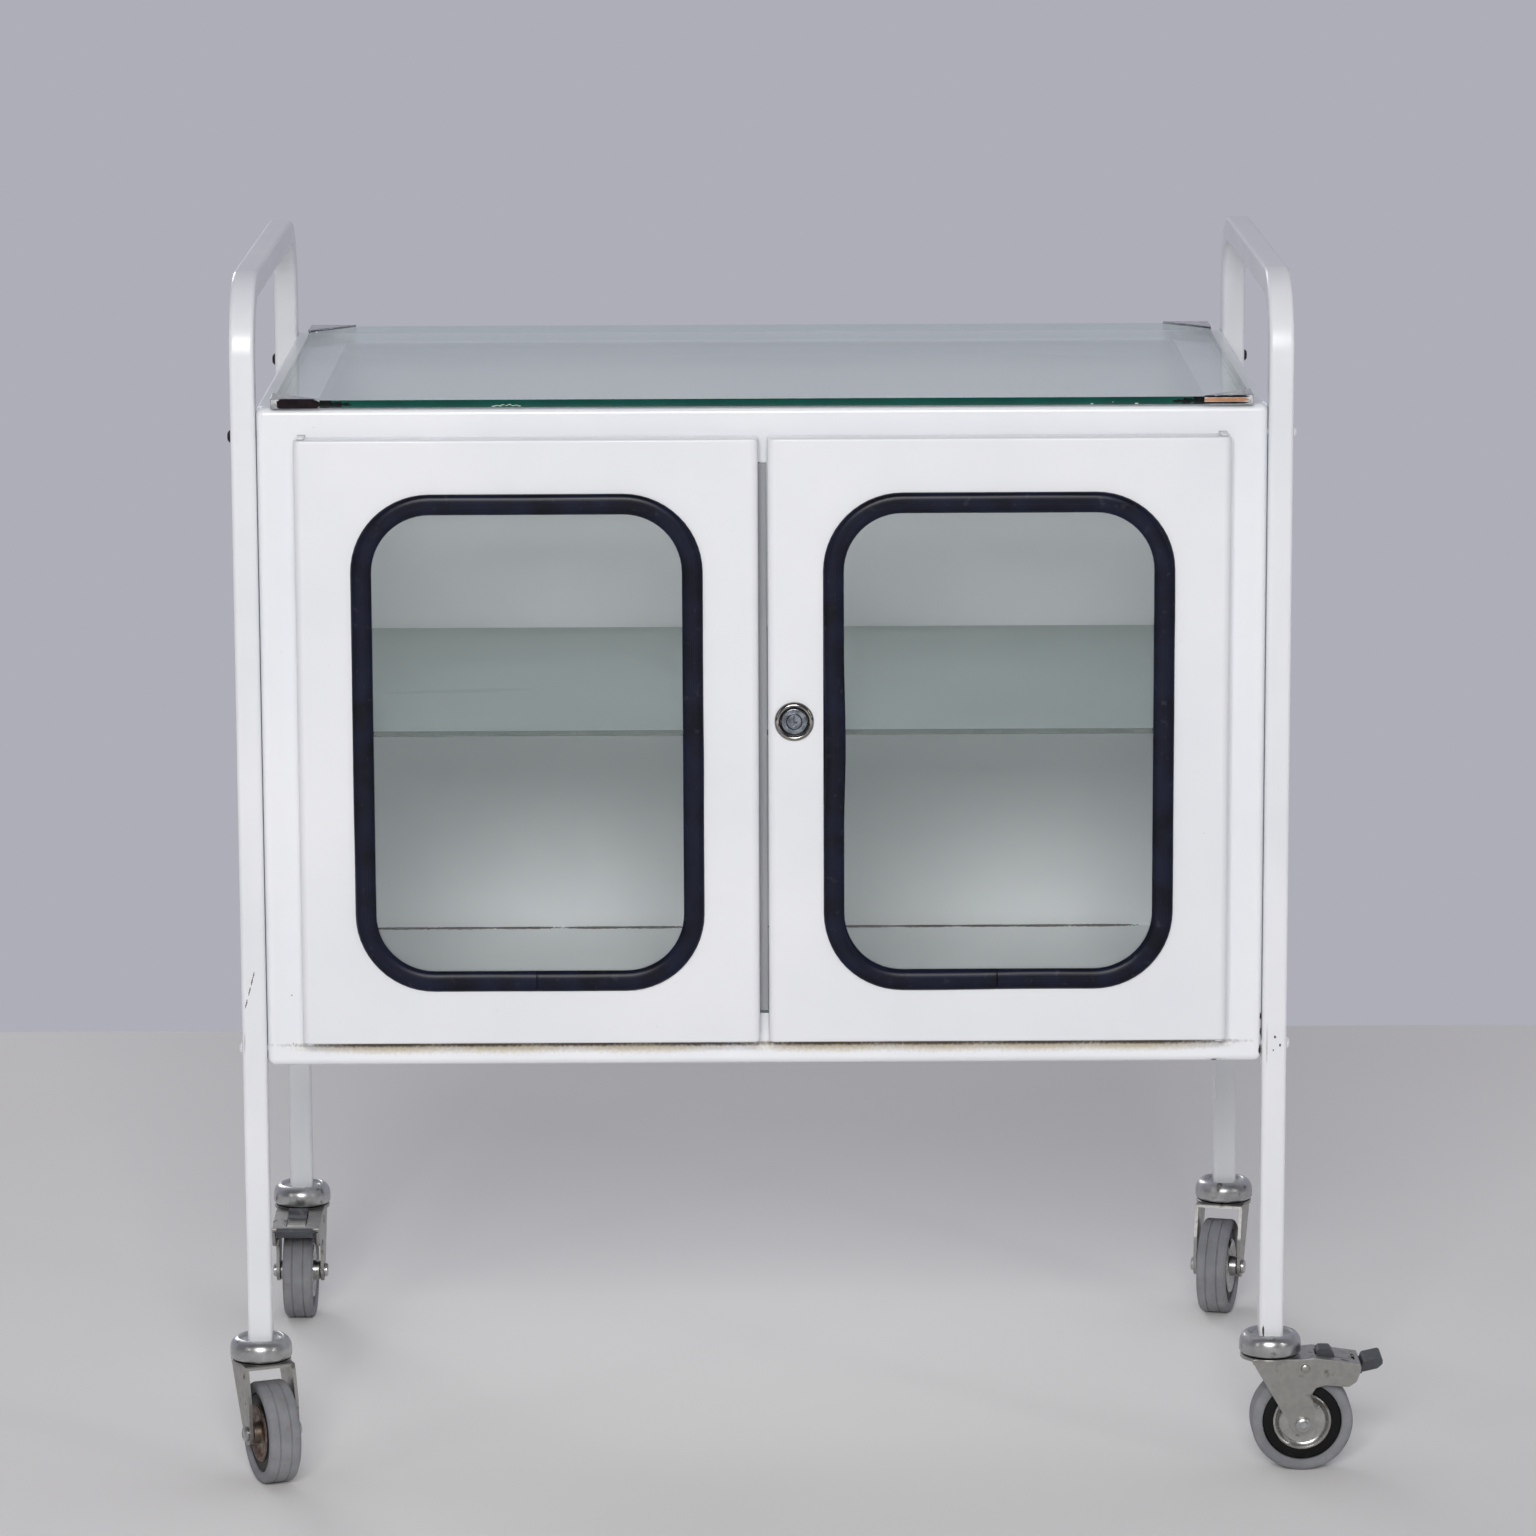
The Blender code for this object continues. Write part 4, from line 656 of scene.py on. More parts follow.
CABINET_CHIPS = (
    wear_and_light_mark(362.2, 4, 343.0, 0.8, 3.0),
    wear_and_light_mark(362.0, 4, 331.0, 0.6, 4.0),
    wear_and_light_mark(361.6, 4, 318.0, 1.0, 3.4),
    wear_and_light_mark(328.0, 3, 310.6, 2.6, 0.7),
    wear_and_light_mark(-343.8, 0, 326.0, 0.5, 1.2),
    wear_and_light_mark(-344.2, 0, 362.5, 0.6, 0.4),
)
CABINET_STAINS = (
    wear_and_light_mark(362.0, 4, 328.0, 1.3, 24.0),
    wear_and_light_mark(330.0, 3, 311.5, 9.0, 1.1),
)
# Painted shadow under the doors. The beige band is partly water marks, partly painted shade; the dark line
# above it is partly grime, partly the doors' painted shadow.
DOOR_PAINTED_SHADE_AND_DRIPS = [wear_and_light_mark(at, 3, 323.6, 80.0, 6.5, 0.009) for at in (-270, -190, -90, 50, 130, 200, 268)]
DOOR_PAINTED_SHADOW_AND_GRIME = [wear_and_light_mark(at, 3, 325.0, 84.0, 2.4, 0.009) for at in (-276, -205, -130, -50, 45, 120, 200, 276)]
back_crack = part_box("back_panel")[1].y - 0.002
floor_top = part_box("floor_panel")[1].z
RUST_LINE = [
    ((SHIFT.x + at, back_crack, floor_top), (0.030, 0.006, 0.0006))
    for at in (-0.285, -0.24, -0.19, -0.13, -0.09, 0.03, 0.08, 0.13, 0.18, 0.225, 0.27)
]
print("the rust line lies", round(back_crack - SHIFT.y, 4), "m from the front, at", round(floor_top, 4))
RUST_STAIN = "8B7660"
frame_enamel = gloss_enamel("frame_enamel", "EFF0F3", "E6E8EC", LEG_CHIPS, [(LEG_STAINS, RUST_STAIN, 0.4)])
# The cabinet's face carries rust stains and the painted shadow under the doors.
cabinet_enamel = gloss_enamel(
    "cabinet_enamel",
    "F5F6F9",
    "EEF0F4",
    CABINET_CHIPS,
    [(CABINET_STAINS, RUST_STAIN, 0.4), (DOOR_PAINTED_SHADE_AND_DRIPS, "CFC09C", 0.75), (DOOR_PAINTED_SHADOW_AND_GRIME, "4E3E2E", 0.95)],
)
door_enamel = gloss_enamel("door_enamel", "F0F1F4", "E9EBEF")
panel_enamel = gloss_enamel("panel_enamel", "F5F8FA", "EFF3F6", RUST_LINE)

# %% [markdown]
# ## Side frames
#
# Each side frame is one length of 18 by 20 mm tube, bent twice to an inverted U. Its
# section is a rectangle with round corners, so it starts as one face with bevelled corners.
# Its rim is pulled up the front leg, swung through the bend, pulled along the handle and so
# on down the rear leg. Solidify then gives the tube its wall.

# %% Side frames
TUBE_WIDTH = 0.018
TUBE_DEPTH = 0.020
TUBE_WALL = 0.0015
TUBE_CORNER = 0.003
FRAME_BEND = 0.060
BEND_STEPS = 24


def side_frame(side):
    low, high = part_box(f"{side}_side_frame")
    foot = Vector(((low.x + high.x) / 2, low.y + TUBE_DEPTH / 2, low.z))
    bm = bmesh.new()
    section = Matrix.Translation(foot) @ Matrix.Diagonal((TUBE_WIDTH, TUBE_DEPTH, 1, 1))
    bmesh.ops.create_grid(bm, x_segments=1, y_segments=1, size=0.5, matrix=section)
    round_corners(bm, TUBE_CORNER, 5)
    bmesh.ops.delete(bm, geom=bm.faces[:], context="FACES_ONLY")
    sweep = FRAME_BEND - TUBE_DEPTH / 2
    leg = high.z - FRAME_BEND - low.z
    handle = high.y - low.y - 2 * FRAME_BEND
    rim = pull(bm, bm.edges[:], (0, 0, leg))
    rim = swing(bm, rim, foot + Vector((0, sweep, leg)), (-1, 0, 0), math.pi / 2, BEND_STEPS)
    rim = pull(bm, rim, (0, handle, 0))
    rim = swing(bm, rim, foot + Vector((0, sweep + handle, leg)), (-1, 0, 0), math.pi / 2, BEND_STEPS)
    pull(bm, rim, (0, 0, -leg))
    bmesh.ops.remove_doubles(bm, verts=bm.verts, dist=WELD)
    bmesh.ops.recalc_face_normals(bm, faces=bm.faces)
    outermost = max(bm.faces, key=lambda face: face.calc_center_median().z)
    if outermost.normal.z < 0:
        bmesh.ops.reverse_faces(bm, faces=bm.faces)
    return worked(bm, TUBE_WALL)


for side in SIDES:
    node = f"{side}_side_frame"
    add_piece(f"{side}_tube_frame", side_frame(side), "trolley", [node], [frame_enamel])

# %% [markdown]
# ## Cabinet front
#
# The cabinet's face is a shallow pan. Its outer edges are folded over a 5.5 mm radius, and
# the door opening and four small slots for the hinge tabs are cut in it. A box without
# its rear face gives the skin and a bevel gives the folds. The opening and the slots have
# straight sides, so boxes punch them.

# %% Cabinet front
SHEET = 0.0012
FACE_FOLD = 0.0055
FACE_RETURN = 0.012
OPENING_SIDE, OPENING_BOTTOM, OPENING_TOP = 0.0153, 0.0175, 0.0195
PUNCH = 0.003
HINGE_SLOT_PLAY = 0.0003
PACKED_TAB = 0.002
TAB_SHEET = 0.0008
TAB_HALF_WIDTH = 0.0027


def tab_plate(side, place):
    """The corners of a hinge tab's thin plate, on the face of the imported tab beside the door."""
    low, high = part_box(f"{side}_{place}_hinge_tab")
    pivot = JOINTS[f"{side}_door_swing"]["pos_m"][0]
    base = low.z + PACKED_TAB - TAB_SHEET if place == "bottom" else high.z - PACKED_TAB
    corner = Vector((pivot - TAB_HALF_WIDTH, low.y, base))
    return corner, Vector((pivot + TAB_HALF_WIDTH, high.y, base + TAB_SHEET))


def cabinet_front():
    low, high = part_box("front_frame")
    back = low.y + FACE_RETURN
    bm = box_shape(low, (high.x, back, high.z))
    rear = [face for face in bm.faces if same(face.calc_center_median().y, back)]
    bmesh.ops.delete(bm, geom=rear, context="FACES")
    round_edges(bm, lambda a, b: not (same(a.y, back) and same(b.y, back)), FACE_FOLD, 8)
    doors_low, doors_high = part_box("left_door")[0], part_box("right_door")[1]
    openings = [
        box_shape(
            (doors_low.x + OPENING_SIDE, low.y - PUNCH, doors_low.z + OPENING_BOTTOM),
            (doors_high.x - OPENING_SIDE, low.y + PUNCH, doors_high.z - OPENING_TOP),
        )
    ]
    for side in SIDES:
        for place in ("bottom", "top"):
            tab_low, tab_high = tab_plate(side, place)
            start = (tab_low.x - HINGE_SLOT_PLAY, low.y - PUNCH, tab_low.z - HINGE_SLOT_PLAY)
            end = (tab_high.x + HINGE_SLOT_PLAY, low.y + PUNCH, tab_high.z + HINGE_SLOT_PLAY)
            openings.append(box_shape(start, end))
    return worked(bm, SHEET, openings)


add_piece(
    "cabinet_front", cabinet_front(), "trolley", ["front_frame"], [cabinet_enamel], SOFT_EDGE
)
SIDE_SHEETS = [f"{side}_{sheet}" for side in SIDES for sheet in ("side_panel", "shelf_rail")]
finish_nodes([*SIDE_SHEETS, "back_panel", "floor_panel"], panel_enamel)

# %% [markdown]
# ## Doors
#
# Each door is a pan 18 mm deep. Its upright edges are folded over 5.5 mm, and its ends are
# tighter, where the corners were welded and ground. The window has corners of 50 mm, cut
# with a rounded prism. The rear has a narrow return all round.

# %% Doors
HINGE_PIN = 0.0015
PIN_HOLE = 0.0018
DOOR_SHEET = 0.001
DOOR_FOLD = 0.0055
DOOR_END_FOLD = 0.0018
DOOR_RETURN = 0.012
WEB_START = 0.0063
WINDOW_CORNER = 0.057
WINDOW_STEPS = 16
LOCK_HOLE = 0.0115


def window_shape(gasket, inset, near, far):
    """A prism of the window's outline, this far inside the rubber's outer edge."""
    low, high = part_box(gasket)
    middle = (low + high) / 2
    size = high - low
    place = Matrix.Translation((middle.x, near, middle.z)) @ TO_FRONT
    place = place @ Matrix.Diagonal((size.x - 2 * inset, size.z - 2 * inset, 1, 1))
    bm = bmesh.new()
    bmesh.ops.create_grid(bm, x_segments=1, y_segments=1, size=0.5, matrix=place)
    round_corners(bm, WINDOW_CORNER - inset, WINDOW_STEPS)
    pull_faces(bm, (0, far - near, 0))
    return bm


def door(side):
    low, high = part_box(f"{side}_door")
    bm = box_shape(low, high)
    round_edges(bm, lambda a, b: upright(a, b) and same(a.y, low.y), DOOR_FOLD, 10)
    round_edges(
        bm, lambda a, b: same(a.z, b.z) and not (same(a.y, high.y) and same(b.y, high.y)), DOOR_END_FOLD, 4
    )
    rear = box_shape(
        (low.x + DOOR_RETURN, high.y - DOOR_SHEET - PUNCH, low.z + DOOR_RETURN),
        (high.x - DOOR_RETURN, high.y + PUNCH, high.z - DOOR_RETURN),
    )
    window = window_shape(f"{side}_gasket", WEB_START, low.y - PUNCH, low.y + PUNCH)
    punches = [rear, window]
    hinge = Vector(JOINTS[f"{side}_door_swing"]["pos_m"])
    ends = (low.z - PUNCH, low.z + DOOR_SHEET + PUNCH), (high.z - DOOR_SHEET - PUNCH, high.z + PUNCH)
    for start, end in ends:
        punches.append(rod_shape((hinge.x, hinge.y, start), (hinge.x, hinge.y, end), PIN_HOLE, 16))
    if side == "right":
        case_low, case_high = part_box("lock_case")
        lock = (case_low + case_high) / 2
        near, far = (lock.x, low.y - PUNCH, lock.z), (lock.x, high.y + PUNCH, lock.z)
        punches.append(rod_shape(near, far, LOCK_HOLE, 48))
    return worked(bm, DOOR_SHEET, punches)


for side in SIDES:
    body = f"{side}_door"
    add_piece(f"{side}_door_pan", door(side), body, [body], [door_enamel], SOFT_EDGE)

# %% [markdown]
# ## Hinge tabs
#
# No hinge shows on the doors, so each turns on two pins. A pin stands on a thin tab that comes
# out of the cabinet's face just above or below the door. The tab is one box with its front
# corners rounded, and the pin is joined to it.

# %% Hinge tabs
def hinge_tab(side, place):
    low, high = tab_plate(side, place)
    pivot = Vector(JOINTS[f"{side}_door_swing"]["pos_m"])
    low.y = pivot.y - TAB_HALF_WIDTH
    bm = box_shape(low, high)
    round_edges(bm, lambda a, b: upright(a, b) and same(a.y, low.y), TAB_HALF_WIDTH * 0.95, 8)
    packed_low, packed_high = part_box(f"{side}_{place}_hinge_tab")
    tip = packed_high.z if place == "bottom" else packed_low.z
    pin = rod_shape((pivot.x, pivot.y, (low.z + high.z) / 2), (pivot.x, pivot.y, tip), HINGE_PIN, 24)
    return worked(bm, 0, welds=[pin])


for side in SIDES:
    for place in ("bottom", "top"):
        hinge = f"{side}_{place}_hinge"
        tab = hinge_tab(side, place)
        add_piece(f"{hinge}_pin", tab, "trolley", [f"{hinge}_tab"], [door_enamel])

# %% [markdown]
# ## Rubber glazing sections
#
# The rubber grips the sheet's edge on its outside and the pane on its inside. From the front
# it is a band 15 mm wide with a domed face. It is an extrusion, so one section is pulled
# along the four sides and swung through the corners. It was pushed in by hand: its two ends
# meet in a butt seam at the bottom, it wanders by a fraction of a millimetre, and beside
# the lock it has crept inwards. The seam is cut first, while the band is still regular, and
# the wander comes last. Its noise is noise.noise, which gives the same value in every run.

# %% Glazing rubber
RUBBER_BAND = 0.015
RUBBER_PROUD = 0.004
RUBBER_DOME = (
    (0.0, 0.06), (0.015, 0.34), (0.05, 0.58), (0.11, 0.77), (0.20, 0.91), (0.32, 0.985),
    (0.46, 1.0), (0.60, 0.985), (0.76, 0.90), (0.88, 0.74), (0.95, 0.54), (0.985, 0.32), (1.0, 0.06),
)
WEB_OUTER, WEB_INNER = 0.0066, 0.0084
PANE_SLOT = 0.0043
REAR_LIPS = (0.10 * RUBBER_BAND, 0.93 * RUBBER_BAND)
GRIP = 0.0003
SIDE_STEPS, CORNER_STEPS = 24, 14
SEAMS = {"left": 0.0048, "right": -0.001}
SEAM_WIDTH, SEAM_DEPTH = 0.0007, 0.0007
SEAM_HEIGHT = 1.2 * RUBBER_BAND
WAVES = 14
OTHER_WAVES = Vector((7.3, 2.9, 5.1))
WANDER = 0.0006
CREEP, CREEP_SPAN = 0.0018, 0.045


def cut_seam(bm, side):
    """Presses a fine groove across the band where the two ends meet."""
    low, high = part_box(f"{side}_gasket")
    place = (low.x + high.x) / 2 + SEAMS[side]
    for offset in (-SEAM_WIDTH, -SEAM_WIDTH / 3, SEAM_WIDTH / 3, SEAM_WIDTH):
        bmesh.ops.bisect_plane(
            bm, geom=bm.verts[:] + bm.edges[:] + bm.faces[:], dist=WELD, plane_co=(place + offset, 0, 0),
            plane_no=(1, 0, 0),
        )
    face = low.y + RUBBER_PROUD
    for vert in bm.verts:
        in_seam = abs(vert.co.x - place) < SEAM_WIDTH / 2 and vert.co.z < low.z + SEAM_HEIGHT
        if in_seam and vert.co.y < face - GRIP:
            vert.co.y += SEAM_DEPTH


def glazing_rubber(side):
    low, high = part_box(f"{side}_gasket")
    face = low.y + RUBBER_PROUD
    corner = WINDOW_CORNER
    rear = face - high.y
    section = [(RUBBER_BAND * inward, RUBBER_PROUD * out) for inward, out in RUBBER_DOME]
    section += [
        (WEB_INNER, GRIP), (WEB_INNER, -PANE_SLOT), (REAR_LIPS[1], -PANE_SLOT), (REAR_LIPS[1], rear),
        (REAR_LIPS[0], rear), (REAR_LIPS[0], -DOOR_SHEET - GRIP), (WEB_OUTER, -DOOR_SHEET - GRIP),
        (WEB_OUTER, GRIP),
    ]
    bm = bmesh.new()
    across_section = bm.verts.layers.float.new("across")
    verts = [bm.verts.new((low.x + corner, face - out, low.z + inward)) for inward, out in section]
    for vert, (inward, out) in zip(verts, section):
        vert[across_section] = inward / RUBBER_BAND
    rim = [bm.edges.new(pair) for pair in zip(verts, verts[1:] + verts[:1])]
    wide, tall = high.x - low.x - 2 * corner, high.z - low.z - 2 * corner
    sides = (
        ((1, 0), wide, (high.x - corner, low.z + corner)),
        ((0, 1), tall, (high.x - corner, high.z - corner)),
        ((-1, 0), wide, (low.x + corner, high.z - corner)),
        ((0, -1), tall, (low.x + corner, low.z + corner)),
    )
    for (run_x, run_z), length, (centre_x, centre_z) in sides:
        for step in range(SIDE_STEPS):
            rim = pull(bm, rim, (run_x * length / SIDE_STEPS, 0, run_z * length / SIDE_STEPS))
        rim = swing(bm, rim, (centre_x, face, centre_z), (0, -1, 0), math.pi / 2, CORNER_STEPS)
    bmesh.ops.remove_doubles(bm, verts=bm.verts, dist=WELD)
    bmesh.ops.recalc_face_normals(bm, faces=bm.faces)
    cut_seam(bm, side)
    middle = (low + high) / 2
    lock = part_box("lock_case")[0].z
    for vert in bm.verts:
        if vert.co.y > face - GRIP:
            continue
        at = vert.co * WAVES
        vert.co.x += noise.noise(at) * WANDER
        vert.co.z += noise.noise(at + OTHER_WAVES) * WANDER
        if side == "right" and vert.co.x < middle.x:
            vert.co.x += CREEP * math.exp(-(((vert.co.z - lock) / CREEP_SPAN) ** 2))
    return bm


black_rubber = rubber(
    "black_epdm_rubber", "151A30", "090B18", 0.20, 0.42, 0.9, 0.02, "343743", ior=1.28, die_lines=26
)
for side in SIDES:
    add_piece(
        f"{side}_glazing_rubber", glazing_rubber(side), f"{side}_door", [f"{side}_gasket"],
        [black_rubber],
    )
pane_glass = clear_glass("pane_glass", 0.05)
finish_nodes(["left_pane", "right_pane"], pane_glass)

# %% [markdown]
# ## Glass top and shelf
#
# The top is 6 mm float glass with ground edges and slightly rounded corners. Its two large
# faces take the clear finish and its rim the green one. The rear edge is painted paler, as
# painted light for the room's light that comes through it. Small shell chips along the front
# edge show pale, and the edge is dark where the clips shade it. The shelf is 4 mm glass,
# blasted on its faces, with a wiped smear, and its edge is ground dull and dark.

# %% Glass top and shelf
TOP_CORNER, TOP_ARRIS, SHELF_ARRIS = 0.003, 0.0004, 0.0003
CHIPPED_RUN = (0.0, 0.5, 0.2, 1.0, 0.4, 1.2, 0.3, 0.7, 0.1)
EDGE_CHIPS = (
    *[
        wear_and_light_mark(-192.0 + 2.3 * step, -1, 794.3 + rise, 1.3, 0.28, 0.0008)
        for step, rise in enumerate(CHIPPED_RUN)
    ],
    wear_and_light_mark(236.0, -1, 794.2, 1.0, 0.4, 0.0008),
    wear_and_light_mark(268.0, -1, 794.2, 1.3, 0.5, 0.0008),
    wear_and_light_mark(251.0, -1, 795.4, 0.5, 0.3, 0.0008),
)
EDGE_SHADE = [
    wear_and_light_mark(side * at, -1, 796.0, wide, tall, 0.004)
    for side in (-1, 1)
    for at, wide, tall in ((313.0, 5.0, 6.0), (304.0, 5.0, 2.2), (298.0, 4.0, 1.2))
]
top_glass = clear_glass("top_glass", 0.05)
top_edge = glass_edge("ground_glass_edge", "023A33", "055248", EDGE_CHIPS, EDGE_SHADE)
# Painted light: the rear edge is paler, for the room's light coming through it.
rear_edge_painted_light = glass_edge("rear_glass_edge_painted_light", "5F8A7E", "7BA397", solidity=0.45)
SMEARS = (
    wear_and_light_mark(-232.0, 172, 556.5, 36.0, 6.0, 0.007),
    wear_and_light_mark(-205.0, 180, 556.5, 30.0, 6.0, 0.005),
    wear_and_light_mark(-262.0, 168, 556.5, 18.0, 6.0, 0.004),
)
shelf_face = frosted_glass("blasted_glass", SMEARS)
shelf_edge = glass_edge("blasted_glass_edge", "22332F", "2C403B", dull=0.5)


def glass_plate(node, corner, arris):
    """A plate from its packed box. Its rim takes the second finish, and the rear of it the third."""
    bm = box_shape(*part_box(node))
    if corner:
        round_edges(bm, upright, corner, 6)
    levels = [bound.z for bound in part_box(node)]
    round_edges(bm, lambda a, b: any(same(a.z, z) and same(b.z, z) for z in levels), arris, 2)
    for each in bm.faces:
        each.material_index = 0 if abs(each.normal.z) > 0.9 else 1
        if each.normal.y > 0.9:
            each.material_index = 2
    return bm


add_piece(
    "glass_top_plate", glass_plate("glass_top", TOP_CORNER, TOP_ARRIS), "trolley", ["glass_top"],
    [top_glass, top_edge, rear_edge_painted_light],
)
add_piece(
    "shelf_plate", glass_plate("shelf_glass", 0, SHELF_ARRIS), "trolley", ["shelf_glass"],
    [shelf_face, shelf_edge, shelf_edge],
)

# %% [markdown]
# ## Corner clips
#
# A triangle of thin chromed sheet lies on each corner of the glass, with a lip down each
# edge. It is one triangular face. Its two short sides are pulled down, and Solidify gives
# the sheet. The lips of the two front clips carry painted reflections: on the front right a
# copper band between dark lines, and on the front left a dark band over most of the lip.

# %% Corner clips
CLIP_SHEET, CLIP_EDGE = 0.0008, 0.00035
chrome = plated_steel("chrome_plate", "D2D3D5", "A4A6AA", 0.08, 0.22, 5)
# Painted reflection on the front right lip: a copper band between dark lines.
COPPER_STRIPE = [wear_and_light_mark(at, -2.4, 797.0, 7.0, 1.25, 0.0012) for at in (322, 327, 332, 337, 341)]
DARK_LINES = [wear_and_light_mark(at, -2.4, level, 9.0, 0.75, 0.0012) for at in (321, 330, 339) for level in (799.3, 794.7)]
chrome_painted_copper_reflection = plated_steel(
    "chrome_plate_painted_copper_reflection", "C9CACC", "9A9CA0", 0.08, 0.22, 5, chips=COPPER_STRIPE, painted_dark_reflection=DARK_LINES
)
# Painted dark reflection over most of the front left lip.
PAINTED_DARK_REFLECTION_LIP = [wear_and_light_mark(at, -2.4, 796.4, 7.0, 5.2, 0.0012) for at in (-340, -334, -328, -323)]
dark_chrome = plated_steel("chrome_plate_painted_dark_reflection", "BEBFC2", "8F9195", 0.10, 0.24, 5, painted_dark_reflection=PAINTED_DARK_REFLECTION_LIP)
CLIP_FINISHES = {"front_left": dark_chrome, "front_right": chrome_painted_copper_reflection}


def corner_clip(corner):
    low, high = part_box(f"{corner}_glass_clip")
    inner_x = low.x + CLIP_SHEET if corner.endswith("left") else high.x - CLIP_SHEET
    inner_y = low.y + CLIP_SHEET if corner.startswith("front") else high.y - CLIP_SHEET
    far_x = high.x if corner.endswith("left") else low.x
    far_y = high.y if corner.startswith("front") else low.y
    top = high.z - CLIP_SHEET
    bm = bmesh.new()
    tip = bm.verts.new((inner_x, inner_y, top))
    bm.faces.new([tip, bm.verts.new((far_x, inner_y, top)), bm.verts.new((inner_x, far_y, top))])
    pull(bm, [edge for edge in bm.edges if tip in edge.verts], (0, 0, low.z - top))
    bmesh.ops.recalc_face_normals(bm, faces=bm.faces)
    lid = max(bm.faces, key=lambda each: each.calc_center_median().z)
    if lid.normal.z < 0:
        bmesh.ops.reverse_faces(bm, faces=bm.faces)
    return worked(bm, CLIP_SHEET, outwards=True)


for corner in CORNERS:
    finish = CLIP_FINISHES.get(corner, chrome)
    node = f"{corner}_glass_clip"
    add_piece(f"{corner}_clip", corner_clip(corner), "trolley", [node], [finish], CLIP_EDGE)

# %% [markdown]
# ## Cam lock
#
# The lock shows a turned ring with a rounded lip, a recess painted dark as shade, and a plug
# with an upright keyway. Ring and plug are turned about the lock's axis. The keyway is punched.

# %% Cam lock
case_low, case_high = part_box("lock_case")
plug_low, plug_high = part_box("lock_plug")
LOCK_PROUD = 0.0029
LOCK_BORE = 0.0099
LOCK_BODY = 0.0112
LOCK_NUT, NUT_FRONT, NUT_REAR = 0.0140, -0.0013, -0.0043
PLUG_RADIUS, PLUG_LENGTH, PLUG_EDGE = 0.0096, 0.0210, 0.0001
KEY_HALF = Vector((0.0008, 0, 0.00425))
WARD_LOW, WARD_HIGH = Vector((-0.0008, 0, -0.0012)), Vector((0.0021, 0, 0.0006))
KEY_NEAR, KEY_FAR = Vector((0, -0.003, 0)), Vector((0, 0.005, 0))
lock_place = Matrix.Translation(
    ((case_low.x + case_high.x) / 2, case_low.y + LOCK_PROUD, (case_low.z + case_high.z) / 2)
) @ TO_FRONT
nickel = plated_steel("nickel_plate", "A5A29E", "7C7A78", 0.06, 0.14, 6, dents=0.004)
# Painted shade: the faces inside the ring's lip are dark.
recess_painted_shade = plated_steel("lock_recess_painted_shade", "38383A", "1E1E20", 0.30, 0.45, 3, dents=0.01)
plug_metal = plated_steel("lock_plug_metal", "8C9199", "5A5E66", 0.14, 0.28, 4, dents=0.01)


def lock_ring():
    ring = (case_high.x - case_low.x) / 2
    depth = case_high.y - case_low.y - LOCK_PROUD
    profile = [
        (LOCK_BORE, -depth), (LOCK_BODY, -depth), (LOCK_BODY, NUT_REAR), (LOCK_NUT, NUT_REAR),
        (LOCK_NUT, NUT_FRONT), (LOCK_BODY, NUT_FRONT), (LOCK_BODY, 0.0003), (ring, 0.0003), (ring, 0.0009),
        (ring * 0.985, 0.0016), (ring * 0.95, 0.0022), (ring * 0.90, 0.0026), (ring * 0.85, LOCK_PROUD),
        (ring * 0.80, 0.0027), (ring * 0.765, 0.0023), (ring * 0.745, 0.0016), (LOCK_BORE, 0.0014),
    ]
    bm = turned_shape(profile, 64, lock_place)
    # Faces inside the lip take the painted shade.
    for each in bm.faces:
        middle = lock_place.inverted() @ each.calc_center_median()
        inside = math.hypot(middle.x, middle.y) < ring * 0.757
        each.material_index = 1 if inside and middle.z > 0 else 0
    return bm


def lock_plug():
    depth = plug_high.y - case_low.y - LOCK_PROUD
    front = case_low.y + LOCK_PROUD - plug_low.y
    radius = PLUG_RADIUS
    profile = [
        (0, -depth), (0.0048, -depth), (0.0048, -depth + 0.0012), (0.003, -depth + 0.0012),
        (0.003, -PLUG_LENGTH), (radius, -PLUG_LENGTH), (radius, front - 0.0005),
        (radius - 0.0004, front - 0.0001),
        (radius - 0.0009, front), (radius * 0.62, front), (radius * 0.57, front - 0.0005),
        (radius * 0.52, front), (0, front),
    ]
    bm = turned_shape(profile, 64, lock_place)
    near, far = lock_place.translation + KEY_NEAR, lock_place.translation + KEY_FAR
    keyway = box_shape(near - KEY_HALF, far + KEY_HALF)
    ward = box_shape(near + WARD_LOW, far + WARD_HIGH)
    return worked(bm, 0, [keyway, ward])


add_piece("lock_ring", lock_ring(), "right_door", ["lock_case"], [nickel, recess_painted_shade])
add_piece("lock_barrel", lock_plug(), "lock", ["lock_plug"], [plug_metal], PLUG_EDGE)

# %% [markdown]
# ## Casters
#
# A caster is modelled about its swivel axis, with its wheel trailing along X, and each of
# the four is then turned to how it stands. Its place comes from the joints: the swivel joint
# gives the axis, and the wheel joint gives the heading.

# %% Caster places and sizes
WHEEL_RADIUS = 0.0375
SWIVEL_OFFSET = 0.0235
CASTER_HEIGHT = 0.104
CUP_RADIUS = 0.0228
CUP_HEIGHT = 0.0155
FORK_WIDTH = 0.038
FORK_SHEET = 0.0025
FORK_TOP = 0.0875
FORK_PLATE = 0.0871
FORK_CEILING = 0.0846
FORK_INNER = 0.0165
BRAKE_REACH = 0.0657
RUNNING_GAP = 0.0003


def caster_place(corner):
    """Moves shapes from a caster's own coordinates to where it stands."""
    swivel = Vector(JOINTS[f"{corner}_swivel"]["pos_m"])
    wheel = Vector(JOINTS[f"{corner}_roll"]["pos_m"])
    trail = wheel - swivel
    turn = Matrix.Rotation(math.atan2(trail.y, trail.x), 4, "Z")
    return Matrix.Translation((swivel.x, swivel.y, 0)) @ turn


